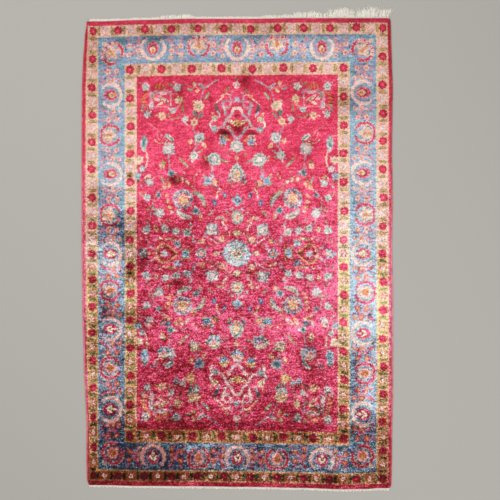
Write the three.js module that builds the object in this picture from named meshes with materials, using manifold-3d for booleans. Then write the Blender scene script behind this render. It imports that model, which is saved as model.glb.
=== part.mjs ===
// A hand-knotted wool rug of about 1.35 by 2.04 m, lying flat on a floor.
//
// Five pieces, as a weaver would count them: the knotted body, the overcast cord along each side, and at
// each end the narrow flat-woven strip whose warps run out as fringe. The fringe of one end is worn almost
// away at its left and whole at its right, and the other end's is worn down to a stubble.
//
// Millimetres. +X runs across the rug, +Y along it to the end with the long fringe, and +Z is up from the
// floor. The origin is on the floor, at the middle of the whole outline.

import * as THREE from "three";
import { mergeVertices } from "three/addons/utils/BufferGeometryUtils.js";
import Module from "manifold-3d";

// Driving dimensions.
const WIDTH = 1350; // over both side cords, where the rug is widest
const LENGTH = 2040; // without the fringes, where the rug is longest
const THICKNESS = 9; // ground weave and pile
const PILE_EDGE = 1.6; // how far the pile's clipped edge slopes in
const CORNER = 12; // corner radius of the body
const GAP = 0.3; // between two pieces that lie side by side
const EDGE_STEP = 45; // length of one straight stretch along an edge

const CORD_WIDTH = 8; // overcast side cord
const CORD_HEIGHT = 7.5;
const CORD_TAPER = 16; // length over which each end of the cord narrows
const CORD_END = 0.45; // the share of its width that the cord keeps at its very end
const CORD_SETBACK = 1; // how far the cord stops short of the body's end line

const STRIP_WIDTH = 5; // flat-woven end strip
const STRIP_HEIGHT = 2.6;

const LOCK_HEIGHT = 2.2; // a lock of fringe at its root, lying on the floor
const LOCK_ROOT = 2; // how deep a lock is rooted in the strip
const LOCK_FILL = 0.62; // the share of its space that a lock's root fills
const LOCK_SHORTEST = 0.72; // shortest and longest lock, against the reach at its place
const LOCK_LONGEST = 1.14;
const LOCK_SWING = 0.34; // how far a tip may stray sideways, against the lock's length or its space
const LOCK_BEND = 0.16; // how far a whole lock may stray sideways, against its space
const LONG_END_LOCKS = 178;
const WORN_END_LOCKS = 110;

// How far each side is drawn in from the full width, at places along the rug.
const SIDE_LINES = [
  { y: -1000, left: 23, right: 6 },
  { y: -870, left: 21, right: 4 },
  { y: -745, left: 22, right: 3 },
  { y: -615, left: 16, right: 0 },
  { y: -485, left: 9, right: 0 },
  { y: -200, left: 3, right: 0 },
  { y: 60, left: 0, right: 4 },
  { y: 230, left: 0, right: 1 },
  { y: 450, left: 0, right: 4 },
  { y: 620, left: 0, right: 2 },
  { y: 720, left: 1, right: 0 },
  { y: 820, left: 5, right: 4 },
  { y: 945, left: 14, right: 8 },
  { y: 1000, left: 22, right: 9 },
];

// How far each end is drawn in from the full length, at places across the rug.
const END_LINES = [
  { x: -645, bottom: 26, top: 16 },
  { x: -600, bottom: 18, top: 14 },
  { x: -420, bottom: 14, top: 8 },
  { x: -200, bottom: 13, top: 3 },
  { x: 55, bottom: 10, top: 3 },
  { x: 270, bottom: 6, top: 0 },
  { x: 450, bottom: 0, top: 0 },
  { x: 560, bottom: 1, top: 0 },
  { x: 655, bottom: 9, top: 0 },
];

// How far the fringe reaches past the strip, at places across the rug.
const FRINGE_REACH = [
  { x: -660, bottom: 4, top: 5 },
  { x: -615, bottom: 7, top: 12 },
  { x: -560, bottom: 8, top: 4 },
  { x: -450, bottom: 6, top: 3 },
  { x: -400, bottom: 5, top: 6 },
  { x: -350, bottom: 6, top: 9 },
  { x: -300, bottom: 5, top: 19 },
  { x: -255, bottom: 7, top: 15 },
  { x: -215, bottom: 6, top: 25 },
  { x: -180, bottom: 5, top: 7 },
  { x: -40, bottom: 7, top: 5 },
  { x: 90, bottom: 6, top: 7 },
  { x: 150, bottom: 5, top: 15 },
  { x: 225, bottom: 6, top: 17 },
  { x: 285, bottom: 5, top: 28 },
  { x: 340, bottom: 7, top: 38 },
  { x: 380, bottom: 5, top: 25 },
  { x: 430, bottom: 4, top: 50 },
  { x: 530, bottom: 7, top: 44 },
  { x: 600, bottom: 5, top: 47 },
  { x: 660, bottom: 4, top: 40 },
];

const HALF_WIDTH = WIDTH / 2;
const HALF_LENGTH = LENGTH / 2;

// The value of one column of a table at a place, on a smooth line through the table's rows.
function lineAt(table, along, column, place) {
  const last = table.length - 1;
  const past = table.findIndex((row) => row[along] >= place);
  const i = past < 0 ? last : Math.max(past, 1);
  const from = table[i - 1];
  const to = table[i];
  const share = THREE.MathUtils.clamp((place - from[along]) / (to[along] - from[along]), 0, 1);
  const eased = share * share * (3 - 2 * share);
  return from[column] + (to[column] - from[column]) * eased;
}

const leftEdge = (y) => -HALF_WIDTH + lineAt(SIDE_LINES, "y", "left", y);
const rightEdge = (y) => HALF_WIDTH - lineAt(SIDE_LINES, "y", "right", y);
const topEdge = (x) => HALF_LENGTH - lineAt(END_LINES, "x", "top", x);
const bottomEdge = (x) => -HALF_LENGTH + lineAt(END_LINES, "x", "bottom", x);

// The body's four corners before they are rounded.
const bodyLeft = (y) => leftEdge(y) + CORD_WIDTH + GAP;
const bodyRight = (y) => rightEdge(y) - CORD_WIDTH - GAP;
const southWest = new THREE.Vector2(bodyLeft(-HALF_LENGTH), bottomEdge(-HALF_WIDTH));
const southEast = new THREE.Vector2(bodyRight(-HALF_LENGTH), bottomEdge(HALF_WIDTH));
const northEast = new THREE.Vector2(bodyRight(HALF_LENGTH), topEdge(HALF_WIDTH));
const northWest = new THREE.Vector2(bodyLeft(HALF_LENGTH), topEdge(-HALF_WIDTH));

// Evenly spaced places between two corners, where the rounding ends. Pieces side by side share them, so
// that their straight stretches run side by side too.
function placesBetween(low, high) {
  const from = low + CORNER;
  const to = high - CORNER;
  const count = Math.ceil((to - from) / EDGE_STEP);
  return Array.from({ length: count + 1 }, (_, i) => from + ((to - from) * i) / count);
}

const LEFT_PLACES = placesBetween(southWest.y, northWest.y);
const RIGHT_PLACES = placesBetween(southEast.y, northEast.y);
const BOTTOM_PLACES = placesBetween(southWest.x, southEast.x);
const TOP_PLACES = placesBetween(northWest.x, northEast.x);

// A repeatable uneven number from 0 to 1 for each lock of fringe.
function uneven(i, salt) {
  const wave = Math.sin(i * 12.9898 + salt * 78.233) * 43758.5453;
  return wave - Math.floor(wave);
}

// A closed solid through rings of points that have one number of corners, capped by a fan at each end.
function loft(rings) {
  const sides = rings[0].length;
  const positions = rings.flat().flatMap((point) => [point.x, point.y, point.z]);
  const index = [];
  for (let r = 0; r < rings.length - 1; r++) {
    for (let s = 0; s < sides; s++) {
      const a = r * sides + s;
      const b = r * sides + ((s + 1) % sides);
      index.push(a, b, b + sides, a, b + sides, a + sides);
    }
  }
  const end = (rings.length - 1) * sides;
  for (let s = 1; s < sides - 1; s++) {
    index.push(0, s + 1, s);
    index.push(end, end + s, end + s + 1);
  }
  const geometry = new THREE.BufferGeometry();
  geometry.setAttribute("position", new THREE.Float32BufferAttribute(positions, 3));
  geometry.setIndex(index);
  return geometry;
}

// Joins geometries that overlap into one closed solid.
const wasm = await Module();
wasm.setup();

function solidOf(geometry) {
  const merged = mergeVertices(geometry);
  const triVerts = new Uint32Array(merged.index.array);
  const vertProperties = merged.attributes.position.array;
  return new wasm.Manifold(new wasm.Mesh({ numProp: 3, vertProperties, triVerts }));
}

function fused(geometries) {
  const whole = geometries.map(solidOf).reduce((sum, next) => sum.add(next));
  const mesh = whole.getMesh();
  const geometry = new THREE.BufferGeometry();
  geometry.setAttribute("position", new THREE.Float32BufferAttribute(mesh.vertProperties, 3));
  geometry.setIndex(Array.from(mesh.triVerts));
  return geometry;
}

// The knotted body: one slab inside the two side cords, with rounded corners and a clipped edge to its pile.
function bodyGeometry() {
  const bottom = BOTTOM_PLACES.map((x) => new THREE.Vector2(x, bottomEdge(x)));
  const right = RIGHT_PLACES.map((y) => new THREE.Vector2(bodyRight(y), y));
  const top = TOP_PLACES.map((x) => new THREE.Vector2(x, topEdge(x))).reverse();
  const left = LEFT_PLACES.map((y) => new THREE.Vector2(bodyLeft(y), y)).reverse();
  const turns = [
    { side: right, corner: southEast },
    { side: top, corner: northEast },
    { side: left, corner: northWest },
    { side: bottom.slice(0, 1), corner: southWest },
  ];

  const shape = new THREE.Shape();
  shape.moveTo(bottom[0].x, bottom[0].y);
  bottom.slice(1).forEach((point) => shape.lineTo(point.x, point.y));
  for (const { side, corner } of turns) {
    shape.quadraticCurveTo(corner.x, corner.y, side[0].x, side[0].y);
    side.slice(1).forEach((point) => shape.lineTo(point.x, point.y));
  }

  const geometry = new THREE.ExtrudeGeometry(shape, {
    depth: THICKNESS - 2 * PILE_EDGE,
    bevelEnabled: true,
    bevelThickness: PILE_EDGE,
    bevelSize: PILE_EDGE,
    bevelOffset: -PILE_EDGE,
    bevelSegments: 1,
    curveSegments: 5,
  });
  return geometry.translate(0, 0, PILE_EDGE);
}

// A side cord's section, as shares of its width and height: from its foot beside the body, out along the
// floor, and back over the top.
const CORD_SECTION = [
  { across: 0.0, up: 0.0 },
  { across: 0.82, up: 0.0 },
  { across: 1.0, up: 0.38 },
  { across: 0.86, up: 0.8 },
  { across: 0.5, up: 1.0 },
  { across: 0.12, up: 0.86 },
];

// A side cord, round on top and flat where it lies on the floor. sign is -1 on the left and 1 on the right.
function cordGeometry(edge, sign, places) {
  const low = bottomEdge(sign * HALF_WIDTH) + CORD_SETBACK;
  const high = topEdge(sign * HALF_WIDTH) - CORD_SETBACK;
  const lowEnd = [low, low + CORD_SETBACK, low + CORNER / 2];
  const highEnd = lowEnd.map((y) => low + high - y).reverse();
  const rings = [...lowEnd, ...places, ...highEnd].map((y) => {
    const fromEnd = Math.min(y - low, high - y) / CORD_TAPER;
    const swell = Math.sqrt(THREE.MathUtils.clamp(fromEnd, 0, 1));
    const fullness = THREE.MathUtils.lerp(CORD_END, 1, swell);
    const inner = edge(y) - sign * CORD_WIDTH;
    return CORD_SECTION.map(({ across, up }) => {
      const x = inner + sign * across * CORD_WIDTH * fullness;
      return new THREE.Vector3(x, y, up * CORD_HEIGHT * Math.sqrt(fullness));
    });
  });
  return loft(sign > 0 ? rings.map((ring) => ring.reverse()) : rings);
}

// A lock of fringe from its root to its tip, as shares of its reach, width and height, and of how far its
// tip strays.
const LOCK_SECTIONS = [
  { along: 0, width: 1, height: 1, stray: 0 },
  { along: 0.55, width: 0.8, height: 0.85, stray: 0.4 },
  { along: 1, width: 0.3, height: 0.5, stray: 1 },
];

// An end strip with its locks of fringe. sign is 1 at the top end and -1 at the bottom end.
function fringeGeometry(edge, sign, column, count, places) {
  const left = places[0] - CORNER;
  const right = places[places.length - 1] + CORNER;
  const outer = (x) => edge(x) + sign * (GAP + STRIP_WIDTH);

  const stripRings = [left, ...places, right].map((x) => {
    const inner = edge(x) + sign * GAP;
    return [
      new THREE.Vector3(x, inner, 0),
      new THREE.Vector3(x, outer(x), 0),
      new THREE.Vector3(x, outer(x), LOCK_HEIGHT),
      new THREE.Vector3(x, inner, STRIP_HEIGHT),
    ];
  });
  const strip = loft(sign > 0 ? stripRings : stripRings.map((ring) => ring.reverse()));

  const pitch = (right - left) / count;
  const locks = Array.from({ length: count }, (_, i) => {
    const x = left + pitch * (i + 0.5);
    const length = THREE.MathUtils.lerp(LOCK_SHORTEST, LOCK_LONGEST, uneven(i, 1));
    const reach = length * lineAt(FRINGE_REACH, "x", column, x);
    const swing = (uneven(i, 2) - 0.5) * LOCK_SWING * Math.min(reach, pitch);
    const bend = (uneven(i, 3) - 0.5) * LOCK_BEND * pitch;
    const rings = LOCK_SECTIONS.map(({ along, width, height, stray }) => {
      const y = outer(x) + sign * THREE.MathUtils.lerp(-LOCK_ROOT, reach, along);
      const middle = x + swing * stray + bend * Math.ceil(stray);
      const halfWidth = (pitch * LOCK_FILL * width) / 2;
      return [
        new THREE.Vector3(middle - halfWidth, y, 0),
        new THREE.Vector3(middle, y, LOCK_HEIGHT * height),
        new THREE.Vector3(middle + halfWidth, y, 0),
      ];
    });
    return loft(sign > 0 ? rings : rings.map((ring) => ring.reverse()));
  });
  return fused([strip, ...locks]);
}

// Finishes.
const pile = new THREE.MeshStandardMaterial({ color: 0xb52648, roughness: 0.85, metalness: 0 });
const overcast = new THREE.MeshStandardMaterial({ color: 0xc23355, roughness: 0.8, metalness: 0 });
const cotton = new THREE.MeshStandardMaterial({ color: 0xe0d2b8, roughness: 0.9, metalness: 0 });

function piece(name, geometry, material) {
  const mesh = new THREE.Mesh(geometry, material);
  mesh.name = name;
  return mesh;
}

const rug = new THREE.Group();
rug.add(
  piece("rug", bodyGeometry(), pile),
  piece("selvedge_left", cordGeometry(leftEdge, -1, LEFT_PLACES), overcast),
  piece("selvedge_right", cordGeometry(rightEdge, 1, RIGHT_PLACES), overcast),
  piece("fringe_top", fringeGeometry(topEdge, 1, "top", LONG_END_LOCKS, TOP_PLACES), cotton),
  piece("fringe_bottom", fringeGeometry(bottomEdge, -1, "bottom", WORN_END_LOCKS, BOTTOM_PLACES), cotton),
);

// The origin goes to the middle of the whole outline, at floor level.
const middle = new THREE.Box3().setFromObject(rug).getCenter(new THREE.Vector3());
rug.position.set(-middle.x, -middle.y, 0);

export default rug;
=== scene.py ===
# %% [markdown]
# A hand-knotted rug, flat on the floor
#
# The real thing is a ground weave of cotton with a row of wool knots tied over it after each pass of the
# shuttle. The weaver follows a chart, one square a knot. This script does the same: it fills a chart with
# yarns, motif by motif, and then builds the pile from it, one small face a knot, so that the pattern is in
# the mesh and needs no picture.
#
# The frame holds the rug's real pieces and sizes. Everything here is fitted to it, in metres.

# %% Load the frame
import math
import bpy
import numpy as np
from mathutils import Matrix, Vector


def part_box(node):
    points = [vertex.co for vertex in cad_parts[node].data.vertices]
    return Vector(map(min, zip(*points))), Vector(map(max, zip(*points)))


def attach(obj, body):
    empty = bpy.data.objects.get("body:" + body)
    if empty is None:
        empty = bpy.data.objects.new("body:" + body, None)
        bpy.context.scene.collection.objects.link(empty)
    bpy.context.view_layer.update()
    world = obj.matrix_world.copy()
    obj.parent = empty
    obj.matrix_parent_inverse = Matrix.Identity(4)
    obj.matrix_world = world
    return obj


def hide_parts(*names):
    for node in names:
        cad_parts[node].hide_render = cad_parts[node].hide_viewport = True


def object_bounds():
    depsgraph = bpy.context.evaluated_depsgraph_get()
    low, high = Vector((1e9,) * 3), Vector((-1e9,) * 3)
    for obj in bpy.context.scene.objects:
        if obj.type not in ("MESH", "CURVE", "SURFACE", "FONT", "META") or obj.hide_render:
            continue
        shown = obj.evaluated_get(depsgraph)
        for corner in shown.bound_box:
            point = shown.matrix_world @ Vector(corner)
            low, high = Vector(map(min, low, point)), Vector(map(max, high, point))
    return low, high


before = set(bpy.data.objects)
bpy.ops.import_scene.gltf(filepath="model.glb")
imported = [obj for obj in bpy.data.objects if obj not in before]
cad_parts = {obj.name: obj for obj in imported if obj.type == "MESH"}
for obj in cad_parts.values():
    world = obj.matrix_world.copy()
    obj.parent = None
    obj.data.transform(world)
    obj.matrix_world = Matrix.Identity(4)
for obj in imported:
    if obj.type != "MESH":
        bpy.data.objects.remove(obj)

cad_low, cad_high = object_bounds()
body_low, body_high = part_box("rug")
MIDDLE_X = (body_low.x + body_high.x) / 2
MIDDLE_Y = (body_low.y + body_high.y) / 2
THICKNESS = body_high.z
MM = 0.001
print("whole rug", [round(v, 4) for v in cad_high - cad_low])
print("body", [round(v, 4) for v in body_high - body_low])

# %% [markdown]
# Camera, floor and light
#
# The rug is seen from straight above. A lens of ordinary length about three metres up frames it. The floor is
# plain and pale. The light is soft, from a large lamp above the long fringe, another above the worn one and a
# grey sky. Colours are shown as they are, without a film curve, so that a yarn's tone shows as it is listed.

# %% Camera
LENS = 50
SENSOR = 36
VIEW_WIDTH = 2.1635
CAMERA_SHIFT = (0.055, 0.016)

camera_data = bpy.data.cameras.new("camera")
camera_data.lens = LENS
camera_data.sensor_width = SENSOR
camera = bpy.data.objects.new("camera", camera_data)
camera.location = (
    MIDDLE_X + CAMERA_SHIFT[0],
    MIDDLE_Y + CAMERA_SHIFT[1],
    THICKNESS + VIEW_WIDTH * LENS / SENSOR,
)
bpy.context.collection.objects.link(camera)
scene = bpy.context.scene
scene.camera = camera
scene.view_settings.view_transform = "Standard"
print("camera height", round(camera.location.z, 3))

# %% Floor
FLOOR_HALF = 7.0
FLOOR_BELOW = 0.0003
FLOOR_PAINT = (0.41, 0.395, 0.365, 1)


def shader_of(material):
    return material.node_tree.nodes["Principled BSDF"]


def new_material(name, roughness):
    material = bpy.data.materials.new(name)
    material.use_nodes = True
    shader_of(material).inputs["Roughness"].default_value = roughness
    return material


floor_mesh = bpy.data.meshes.new("floor")
corners = [(-1, -1), (1, -1), (1, 1), (-1, 1)]
floor_points = [(x * FLOOR_HALF, y * FLOOR_HALF, -FLOOR_BELOW) for x, y in corners]
floor_mesh.from_pydata(floor_points, [], [(0, 1, 2, 3)])
floor = bpy.data.objects.new("floor", floor_mesh)
floor_finish = new_material("floor_paint", 0.8)
shader_of(floor_finish).inputs["Base Color"].default_value = FLOOR_PAINT
floor_mesh.materials.append(floor_finish)
bpy.context.collection.objects.link(floor)
print("floor", 2 * FLOOR_HALF, "m square")

# %% Lamps and sky
LAMPS = [
    # name, place, size in metres, power in watts
    ("window_light", (-1.3, 1.7, 3.7), 2.6, 90),
    ("fill_light", (1.4, -1.8, 3.7), 3.0, 82),
]
SKY_COLOUR = (1.0, 0.99, 0.97, 1)
SKY_STRENGTH = 0.405


def lamp(name, place, size, power, aim):
    data = bpy.data.lights.new(name, "AREA")
    data.shape = "SQUARE"
    data.size = size
    data.energy = power
    lamp_object = bpy.data.objects.new(name, data)
    lamp_object.location = place
    direction = aim - lamp_object.location
    lamp_object.rotation_euler = direction.to_track_quat("-Z", "Y").to_euler()
    bpy.context.collection.objects.link(lamp_object)


rug_middle = (cad_low + cad_high) / 2
for name, place, size, power in LAMPS:
    lamp(name, place, size, power, rug_middle)

sky = bpy.data.worlds.new("sky")
sky.use_nodes = True
sky.node_tree.nodes["Background"].inputs["Color"].default_value = SKY_COLOUR
sky.node_tree.nodes["Background"].inputs["Strength"].default_value = SKY_STRENGTH
scene.world = sky

# %% [markdown]
# The chart's grid
#
# A knot here is 2.6 mm each way, so the chart has 513 knots across and 785 along. Sizes in the chart are in
# millimetres of cloth from the rug's middle. No weaver's rows are quite even, so the motifs are read
# through a slight wander, and no two of the four mirrored quarters come out the same. The lower half was
# also beaten down harder, which pulls its motifs towards the middle.

# %% Grid of knots
KNOTS_ACROSS = 513
KNOTS_ALONG = 785
HALF_WIDTH = (body_high.x - body_low.x) / 2 / MM
HALF_LENGTH = (body_high.y - body_low.y) / 2 / MM
WANDER = 3.0
TIGHTER = [
    # y, how far the motifs there have moved towards the middle
    (-1040, 0), (-800, 2), (-700, 11), (-620, 17), (-450, 23), (-346, 24), (-222, 15), (0, 0), (1040, 0),
]
TIGHTER_ACROSS = [(-680, 1), (430, 1), (490, 0), (680, 0)]
BULGE = 22
BULGE_AT = (195, -620)
BULGE_SIZE = (60, 90)

knot_lines_x = np.linspace(-HALF_WIDTH, HALF_WIDTH, KNOTS_ACROSS + 1)
knot_lines_y = np.linspace(-HALF_LENGTH, HALF_LENGTH, KNOTS_ALONG + 1)
across = (knot_lines_x[1:] + knot_lines_x[:-1]) / 2
along = (knot_lines_y[1:] + knot_lines_y[:-1]) / 2
plain_x, plain_y = np.meshgrid(across, along)
drift_x = 0.6 * np.sin(plain_y / 57 + 1.1) + 0.35 * np.sin(plain_y / 23 + plain_x / 31)
drift_x += 0.5 * np.sin(plain_x / 71 + 2)
drift_y = 0.6 * np.sin(plain_x / 49 + 0.4) + 0.35 * np.sin(plain_x / 21 - plain_y / 37)
drift_y += 0.6 * np.sin(plain_y / 83)

# The right-hand border was woven evenly, and beside the lower lantern the motifs bulge outward.
tighter = np.interp(plain_y, *zip(*TIGHTER)) * np.interp(plain_x, *zip(*TIGHTER_ACROSS))
from_bulge_x = (np.abs(plain_x) - BULGE_AT[0]) / BULGE_SIZE[0]
from_bulge_y = (plain_y - BULGE_AT[1]) / BULGE_SIZE[1]
pushed_out = BULGE * np.exp(-(from_bulge_x**2) - from_bulge_y**2)
wandered_x = plain_x + WANDER * drift_x - np.sign(plain_x) * pushed_out
wandered_y = plain_y + WANDER * drift_y - tighter
print("knot size in mm", round(across[1] - across[0], 2), round(along[1] - along[0], 2))

# %% [markdown]
# Yarns
#
# Each yarn has two tones, a painted shade and a painted light of the same wool. Looked at into the pile it is
# deep, and looked at with the pile, light: silky wool changes that much as it is brushed one way or the
# other, and the knots carry that sheen in their colour. A knot's place between the two is set later.

# %% Yarns and their two tones
YARN_TONES = {
    # name: (deep red, green, blue), (light red, green, blue)
    "crimson": ((104, 0, 16), (246, 72, 106)),
    "garnet": ((70, 0, 12), (214, 44, 70)),
    "wine": ((60, 0, 14), (178, 34, 58)),
    "rose": ((150, 40, 62), (250, 150, 162)),
    "coral": ((140, 40, 34), (252, 152, 130)),
    "cream": ((140, 96, 62), (252, 224, 200)),
    "peach": ((112, 64, 24), (255, 204, 172)),
    "gold": ((124, 76, 26), (242, 190, 122)),
    "sky": ((24, 38, 58), (178, 202, 224)),
    "ice": ((70, 74, 80), (204, 210, 206)),
    "navy": ((18, 30, 52), (78, 108, 148)),
    "olive": ((16, 14, 4), (176, 166, 116)),
    "umber": ((26, 14, 10), (134, 98, 70)),
    "mauve": ((86, 52, 66), (214, 170, 180)),
    "blush": ((176, 116, 108), (255, 230, 218)),
    "white": ((146, 122, 116), (250, 232, 224)),
    "teal": ((34, 62, 62), (124, 158, 152)),
    "amber": ((120, 54, 18), (226, 140, 84)),
    "silk": ((206, 184, 160), (255, 244, 232)),
}
YARN_NAMES = list(YARN_TONES)
DYE = {name: number for number, name in enumerate(YARN_NAMES)}
chart = np.full(plain_x.shape, DYE["crimson"], dtype=np.int8)
print("yarns", len(YARN_NAMES))

# %% [markdown]
# Drawing tools
#
# The design is one quarter, mirrored about both middle lines, so each tool draws its motif four times. A
# motif has its own u to the right and v up, and a few tools make all of them: a flower of lobed rings, a
# leaf with its spine bowed, a bud, and a stem along a smooth line. A motif can also be given to the upper or
# the lower half alone, because this weaver changed some of them on the way.

# %% Drawing tools
QUARTERS = [(1, 1), (-1, 1), (1, -1), (-1, -1)]
UPPER, LOWER = QUARTERS[:2], QUARTERS[2:]
MARGIN = 32.0
POINT_WIDTH = 0.42
THINNEST_VEIN = 1.4


def turned(u, v, degrees):
    c, s = math.cos(math.radians(degrees)), math.sin(math.radians(degrees))
    return u * c + v * s, -u * s + v * c


def places(x, y, reach, turn=0.0, where=QUARTERS):
    """The four mirrored places of a motif: a window on the chart, and u and v there."""
    c, s = math.cos(math.radians(turn)), math.sin(math.radians(turn))
    span = reach + MARGIN
    for sx, sy in where:
        cols = slice(*np.searchsorted(across, [sx * x - span, sx * x + span]))
        rows = slice(*np.searchsorted(along, [sy * y - span, sy * y + span]))
        dx = sx * wandered_x[rows, cols] - x
        dy = sy * wandered_y[rows, cols] - y
        yield (rows, cols), dx * c - dy * s, dx * s + dy * c


def dye(window, mask, yarn):
    chart[window][mask] = DYE[yarn]


def flower(x, y, radius, rings, petals=8, turn=0.0, depth=0.15, tall=1.0, point=0.0, where=QUARTERS):
    """Lobed rings, outermost first, each a share of the radius and a yarn. point draws its top lobe out."""
    for window, u, v in places(x, y, radius * (1.05 + point) * max(1.0, tall), turn, where):
        rho = np.hypot(u, v / tall)
        theta = np.arctan2(u, v / tall)
        drawn_out = point * np.exp(-((theta / POINT_WIDTH) ** 2))
        rim = radius * (1 - depth + depth * np.cos(petals * theta) + drawn_out)
        for share, yarn in rings:
            dye(window, rho < rim * share, yarn)


def leaf(x, y, length, width, yarn, turn=0.0, bow=0.0, vein=None, where=QUARTERS):
    """A lens from tip to tip along v. bow carries its middle sideways."""
    for window, u, v in places(x, y, length / 2 + abs(bow), turn, where):
        s = np.clip(2 * v / length, -1, 1)
        half = width / 2 * np.sqrt(1 - s**2)
        off = np.abs(u - bow * (0.5 - s**2))
        inside = (off < half) & (np.abs(v) < length / 2)
        dye(window, inside, yarn)
        if vein:
            dye(window, inside & (off < max(0.15 * width, THINNEST_VEIN)) & (np.abs(s) < 0.75), vein)


def bud(x, y, size, yarn, turn=0.0, heart=None, where=QUARTERS):
    """A drop with its point up, and its heart a smaller one."""
    for window, u, v in places(x, y, size * 1.1, turn, where):
        s = np.clip((v / size + 1) / 2, 0, 1)
        half = size * 0.62 * np.sin(math.pi * (1 - s) ** 0.7)
        dye(window, (np.abs(u) < half) & (np.abs(v) < size), yarn)
        if heart:
            dye(window, (np.abs(u) < half * 0.45) & (np.abs(v + 0.15 * size) < size * 0.5), heart)


def smooth_line(points, spacing=2.0):
    """Close points on a smooth curve through a few."""
    p = np.array([points[0], *points, points[-1]], dtype=float)
    found = []
    for i in range(1, len(p) - 2):
        t = np.linspace(0, 1, max(2, int(math.dist(p[i], p[i + 1]) / spacing)))[:, None]
        linear = (p[i + 1] - p[i - 1]) * t
        square = (2 * p[i - 1] - 5 * p[i] + 4 * p[i + 1] - p[i + 2]) * t**2
        cubic = (3 * p[i] - p[i - 1] - 3 * p[i + 1] + p[i + 2]) * t**3
        found.append(0.5 * (2 * p[i] + linear + square + cubic))
    return np.concatenate(found)


def stem(points, yarn, width=4.0, where=QUARTERS):
    for x, y in smooth_line(points):
        for window, u, v in places(x, y, width, 0.0, where):
            dye(window, u**2 + v**2 < (width / 2) ** 2, yarn)


# %% [markdown]
# Grounds
#
# From the middle outward: the crimson field, a peach guard, the blue main border, a second peach guard, and
# a plain crimson band at the edge. A line of cream knots parts each from the next.

# %% Grounds and the lines between them
FIELD = (438, 778)
BLUE_FROM = (485, 829)
OUTER_GUARD_FROM = (605, 953)
OUTER_BAND_FROM = (655, 999)
LINE_INSIDE = 2.4
LINE_OUTSIDE = 1.4


def beyond(half_sizes, extra=0.0):
    """Where the chart lies outside a rectangle of these half sizes."""
    return (np.abs(plain_x) > half_sizes[0] + extra) | (np.abs(plain_y) > half_sizes[1] + extra)


chart[beyond(FIELD)] = DYE["peach"]
chart[beyond(BLUE_FROM)] = DYE["sky"]
chart[beyond(OUTER_GUARD_FROM)] = DYE["peach"]
chart[beyond(OUTER_BAND_FROM)] = DYE["crimson"]
for line in (FIELD, BLUE_FROM, OUTER_GUARD_FROM, OUTER_BAND_FROM):
    chart[beyond(line, -LINE_INSIDE) & ~beyond(line, LINE_OUTSIDE)] = DYE["cream"]
print("share of field knots", round(float((~beyond(FIELD)).mean()), 2))

# %% [markdown]
# The two guards
#
# In each guard a garnet rosette and a pale blossom between two olive leaves take turns. The number of
# rosettes is whole between the corners, which each have one. In the lower half the rosettes are plainer and
# the blossoms are browner, with a heart of bright silk.

# %% Guards
ROSETTE = [(1, "garnet"), (0.66, "crimson"), (0.16, "rose")]
ROSETTE_BELOW = [(1, "garnet"), (0.24, "crimson")]
BLOSSOM = [
    (1, "blush"), (0.9, "rose"), (0.82, "peach"), (0.7, "white"),
    (0.44, "rose"), (0.34, "white"), (0.16, "mauve"),
]
BLOSSOM_BELOW = [(1, "umber"), (0.9, "rose"), (0.7, "umber"), (0.58, "silk"), (0.3, "rose")]
LEAF_OUT = 29
TIP_OUT = 18
TIP_ALONG = 15


def rosette(x, y):
    flower(x, y, 19.5, ROSETTE, depth=0.07, where=UPPER)
    flower(x, y, 20.5, ROSETTE_BELOW, depth=0.07, where=LOWER)


def blossom(x, y, at_end):
    """A blossom between its two leaves, side by side along an end, one above the other along a side."""
    turn = 0 if at_end else 90
    flower(x, y, 20, BLOSSOM, petals=6, turn=turn, depth=0.16, where=UPPER)
    flower(x, y, 19, BLOSSOM_BELOW, petals=6, turn=turn, depth=0.24, where=LOWER)
    for side in (-1, 1):
        u, v = turned(side * LEAF_OUT, 0, turn)
        leaf(x + u, y + v, 36, 13, "olive", turn=turn, bow=side * 5, vein="gold", where=UPPER)
        leaf(x + u, y + v, 38, 15, "olive", turn=turn, bow=side * 5, where=LOWER)
        for end in (-1, 1):
            u, v = turned(side * TIP_OUT, end * TIP_ALONG, turn)
            leaf(x + u, y + v, 13, 6, "blush", turn=turn + side * end * 50, where=UPPER)


def guard(inner, outer, spaces_across, spaces_along):
    middle = ((inner[0] + outer[0]) / 2, (inner[1] + outer[1]) / 2)
    for spaces, reach, at_end in ((spaces_across, middle[0], True), (spaces_along, middle[1], False)):
        step = 2 * reach / spaces
        for half_steps in range(spaces + 1):
            at = reach - half_steps * step / 2
            place = (at, middle[1]) if at_end else (middle[0], at)
            if half_steps % 2:
                blossom(*place, at_end)
            else:
                rosette(*place)


guard(FIELD, BLUE_FROM, spaces_across=7, spaces_along=13)
guard(OUTER_GUARD_FROM, OUTER_BAND_FROM, spaces_across=11, spaces_along=16)
print("guard knots", int((chart == DYE["peach"]).sum()))

# %% [markdown]
# The main border
#
# Two palmettes take turns on the blue. One is a pair of cream crescents closed towards the field, round a
# crimson flower with a cream heart. The other is a crimson horseshoe open towards the field, round a pale
# lotus in the upper half and a coral flower in the lower. A spray of leaves and small blossoms crosses
# between each two. Up, for a palmette, is outward.

# %% Border palmettes
BORDER_X = (BLUE_FROM[0] + OUTER_GUARD_FROM[0]) / 2
BORDER_Y = (BLUE_FROM[1] + OUTER_GUARD_FROM[1]) / 2
HORSESHOE_OUT = 7
CRESCENT_FLOWER = [(1, "rose"), (0.88, "crimson"), (0.56, "garnet"), (0.36, "wine")]
CRESCENT_FLOWER_BELOW = [(1, "rose"), (0.92, "garnet"), (0.5, "wine")]
HORSESHOE_FLOWER_BELOW = [(1, "coral"), (0.88, "blush"), (0.6, "coral"), (0.42, "amber"), (0.2, "gold")]
LOTUS_TILTS = (-100, 100, -66, 66, -32, 32)
SHOE_BLOSSOM_BEARINGS = (-64, -40, -14, 14, 40, 64)


def shifted(x, y, turn, u, v):
    du, dv = turned(u, v, turn)
    return x + du, y + dv


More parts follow.
